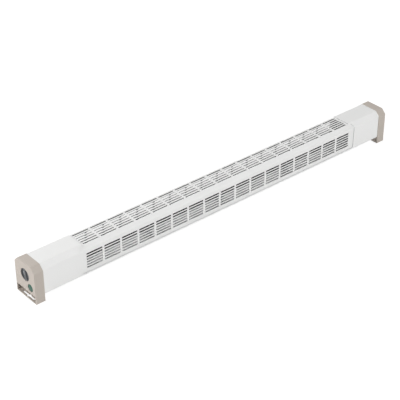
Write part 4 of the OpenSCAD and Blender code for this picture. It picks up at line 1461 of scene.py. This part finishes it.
# Place, aim and width of each square lamp, in metres
AIM_Z = 0.04
LAMPS = {
    "key": ((-2.45, 0.55, 1.3), (-END_X * MM, 0, AIM_Z), 1.0),
    "front": ((0.3, -2.3, 1.6), (0.1, 0, AIM_Z), 1.6),
    "top": ((-0.1, 0.3, 2.4), (0, 0, AIM_Z), 1.6),
    "back": ((0.3, 2.4, 0.9), (0, 0, AIM_Z), 1.4),
    "side": ((2.6, 0.3, 0.6), (END_X * MM, 0, AIM_Z), 1.0),
}
# Half the width of the floor, in millimetres, and its grey as it throws light back on the object
FLOOR_HALF = 8000.0
FLOOR_BOUNCE = 0.35
# Distances from the middle, in metres, between which the floor's glow rises to white
GLOW_NEAR = 1.5
GLOW_FAR = 3.0


def soft_lamp(name, place, aim, size, power):
    """A square area lamp turned towards a point."""
    data = bpy.data.lights.new(name, "AREA")
    data.shape = "SQUARE"
    data.size = size
    data.energy = power
    lamp = bpy.data.objects.new(name, data)
    bpy.context.scene.collection.objects.link(lamp)
    lamp.location = place
    lamp.rotation_euler = (Vector(aim) - Vector(place)).to_track_quat("-Z", "Y").to_euler()


def seen_directly(tree):
    """1 where a ray comes from the camera, a mirror or a clear piece, else 0."""
    path = add_node(tree, "ShaderNodeLightPath").outputs
    seen = path["Is Camera Ray"]
    for ray in ("Is Glossy Ray", "Is Transmission Ray"):
        seen = add_node(tree, "ShaderNodeMath", {0: seen, 1: path[ray]}, operation="MAXIMUM").outputs[0]
    return seen


class HEATER_OT_stage(bpy.types.Operator):
    """Pale floor, soft light and the camera"""

    bl_idname = "heater.stage"
    bl_label = "Stage"

    def execute(self, context):
        settings = context.scene.heater_stage
        self.add_floor(settings)
        self.add_world(context.scene, settings)
        for name, (place, aim, size) in LAMPS.items():
            soft_lamp(name + "_lamp", place, aim, size, getattr(settings, name))
        self.add_camera(context.scene, settings)
        context.scene.view_settings.view_transform = "Standard"
        return {"FINISHED"}

    def add_camera(self, scene, settings):
        """The camera, at the photograph's viewing angle."""
        data = bpy.data.cameras.new("camera")
        data.sensor_width = SENSOR
        data.lens = settings.focal
        data.clip_end = FAR_CLIP
        camera = bpy.data.objects.new("camera", data)
        scene.collection.objects.link(camera)
        camera.location = CAMERA_PLACE
        level = math.cos(CAMERA_DOWN)
        heading = (level * math.sin(CAMERA_HEADING), level * math.cos(CAMERA_HEADING), -math.sin(CAMERA_DOWN))
        camera.rotation_euler = Vector(heading).to_track_quat("-Z", "Y").to_euler()
        scene.camera = camera

    def add_floor(self, settings):
        """A broad floor that shows white and keeps the object's shadow."""
        bm = bmesh.new()
        corners = [(-FLOOR_HALF, -FLOOR_HALF), (FLOOR_HALF, -FLOOR_HALF)]
        corners += [(FLOOR_HALF, FLOOR_HALF), (-FLOOR_HALF, FLOOR_HALF)]
        bm.faces.new([bm.verts.new((x, y, 0)) for x, y in corners])
        material = bpy.data.materials.new("pale_floor")
        material.use_nodes = True
        tree = material.node_tree
        tree.nodes.remove(tree.nodes["Principled BSDF"])
        seen = seen_directly(tree)
        colours = {"Factor": seen, "A": rgba(settings.floor), "B": rgba([FLOOR_BOUNCE] * 3)}
        colour = add_node(tree, "ShaderNodeMix", colours, data_type="RGBA").outputs["Result"]
        matt = add_node(tree, "ShaderNodeBsdfDiffuse", {"Color": colour}).outputs["BSDF"]
        # The glow reaches full white past the lamps, so the floor meets the backdrop without a line
        point = add_node(tree, "ShaderNodeTexCoord").outputs["Object"]
        away = add_node(tree, "ShaderNodeVectorMath", {0: point}, operation="LENGTH").outputs["Value"]
        rise = {"From Min": GLOW_NEAR, "From Max": GLOW_FAR, "To Min": settings.glow, "To Max": 1.0}
        spread = add_node(tree, "ShaderNodeMapRange", {"Value": away, **rise}).outputs["Result"]
        level = add_node(tree, "ShaderNodeMath", {0: seen, 1: spread}, operation="MULTIPLY").outputs[0]
        glow = add_node(tree, "ShaderNodeEmission", {"Strength": level}).outputs["Emission"]
        total = add_node(tree, "ShaderNodeAddShader", {0: matt, 1: glow}).outputs["Shader"]
        tree.links.new(total, tree.nodes["Material Output"].inputs["Surface"])
        floor = to_object("floor", bm, material)

    def add_world(self, scene, settings):
        """White where it is seen, and an even soft light otherwise."""
        world = bpy.data.worlds.new("studio")
        world.use_nodes = True
        scene.world = world
        tree = world.node_tree
        background = tree.nodes["Background"]
        background.inputs["Color"].default_value = rgba([1.0] * 3)
        levels = {"Value": seen_directly(tree), "To Min": settings.sky, "To Max": 1.0}
        level = add_node(tree, "ShaderNodeMapRange", levels)
        tree.links.new(level.outputs["Result"], background.inputs["Strength"])


# Panel and registration

OPERATORS = (
    HEATER_OT_casing,
    HEATER_OT_grille,
    HEATER_OT_caps,
    HEATER_OT_dial,
    HEATER_OT_rocker,
    HEATER_OT_element,
    HEATER_OT_fixings,
    HEATER_OT_inside,
    HEATER_OT_stage,
)
SETTINGS = {
    "heater_sheet": SheetSettings,
    "heater_cap": CapSettings,
    "heater_controls": ControlSettings,
    "heater_element": ElementSettings,
    "heater_stage": StageSettings,
}


class HEATER_PT_panel(bpy.types.Panel):
    """Steps and sizes of the heater"""

    bl_idname = "HEATER_PT_panel"
    bl_label = "Plinth heater"
    bl_space_type = "VIEW_3D"
    bl_region_type = "UI"
    bl_category = "Heater"

    def draw(self, context):
        for operator in OPERATORS:
            self.layout.operator(operator.bl_idname)
        for name, group in SETTINGS.items():
            box = self.layout.box()
            box.label(text=group.__doc__)
            for key in group.__annotations__:
                box.prop(getattr(context.scene, name), key)


def register():
    for group in SETTINGS.values():
        bpy.utils.register_class(group)
    for name, group in SETTINGS.items():
        setattr(bpy.types.Scene, name, PointerProperty(type=group))
    for operator in OPERATORS:
        bpy.utils.register_class(operator)
    bpy.utils.register_class(HEATER_PT_panel)


def unregister():
    bpy.utils.unregister_class(HEATER_PT_panel)
    for operator in reversed(OPERATORS):
        bpy.utils.unregister_class(operator)
    for name in SETTINGS:
        delattr(bpy.types.Scene, name)
    for group in reversed(list(SETTINGS.values())):
        bpy.utils.unregister_class(group)


def mix_finishes(scene):
    """The finishes of the pieces that are made here."""
    MATERIALS["coat"] = powder_coat(rgba(scene.heater_sheet.coat))
    # The grille's inner face is a matt grey, painted shade for the dark inside of the duct; the cut edges are
    # a little greyer than the faces, partly from thinner powder and partly as painted shade along the
    # window's edge
    MATERIALS["inner_face"] = thin_coat_and_shade("grey_primer", "858789", 0.6)
    MATERIALS["sheared_edge"] = thin_coat_and_shade("thin_coat_on_edge", "CFD1D2", 0.5)
    MATERIALS["moulding"] = textured_abs(rgba(scene.heater_cap.plastic))
    MATERIALS["knob"] = dial_phenolic(rgba(scene.heater_controls.knob))
    MATERIALS["mark"] = painted_highlight_ink(rgba(scene.heater_controls.mark))
    MATERIALS["lens"] = tinted_lens(rgba(scene.heater_controls.lens))
    # The fin colour is partly heat scale and partly painted shade
    MATERIALS["fin"] = heat_darkened("heat_darkened_fin", rgba(scene.heater_element.steel), 0.6)
    MATERIALS["zinc"] = plated("zinc_plate", "B4B6BA")
    MATERIALS["rubber"] = moulded("grommet_rubber", "1C1C1C", 0.6)


def main():
    register()
    mix_finishes(bpy.context.scene)
    for name in ("casing", "grille", "caps", "dial", "rocker", "element", "fixings", "inside", "stage"):
        getattr(bpy.ops.heater, name)()
    bpy.context.view_layer.update()


if __name__ == "__main__":
    main()
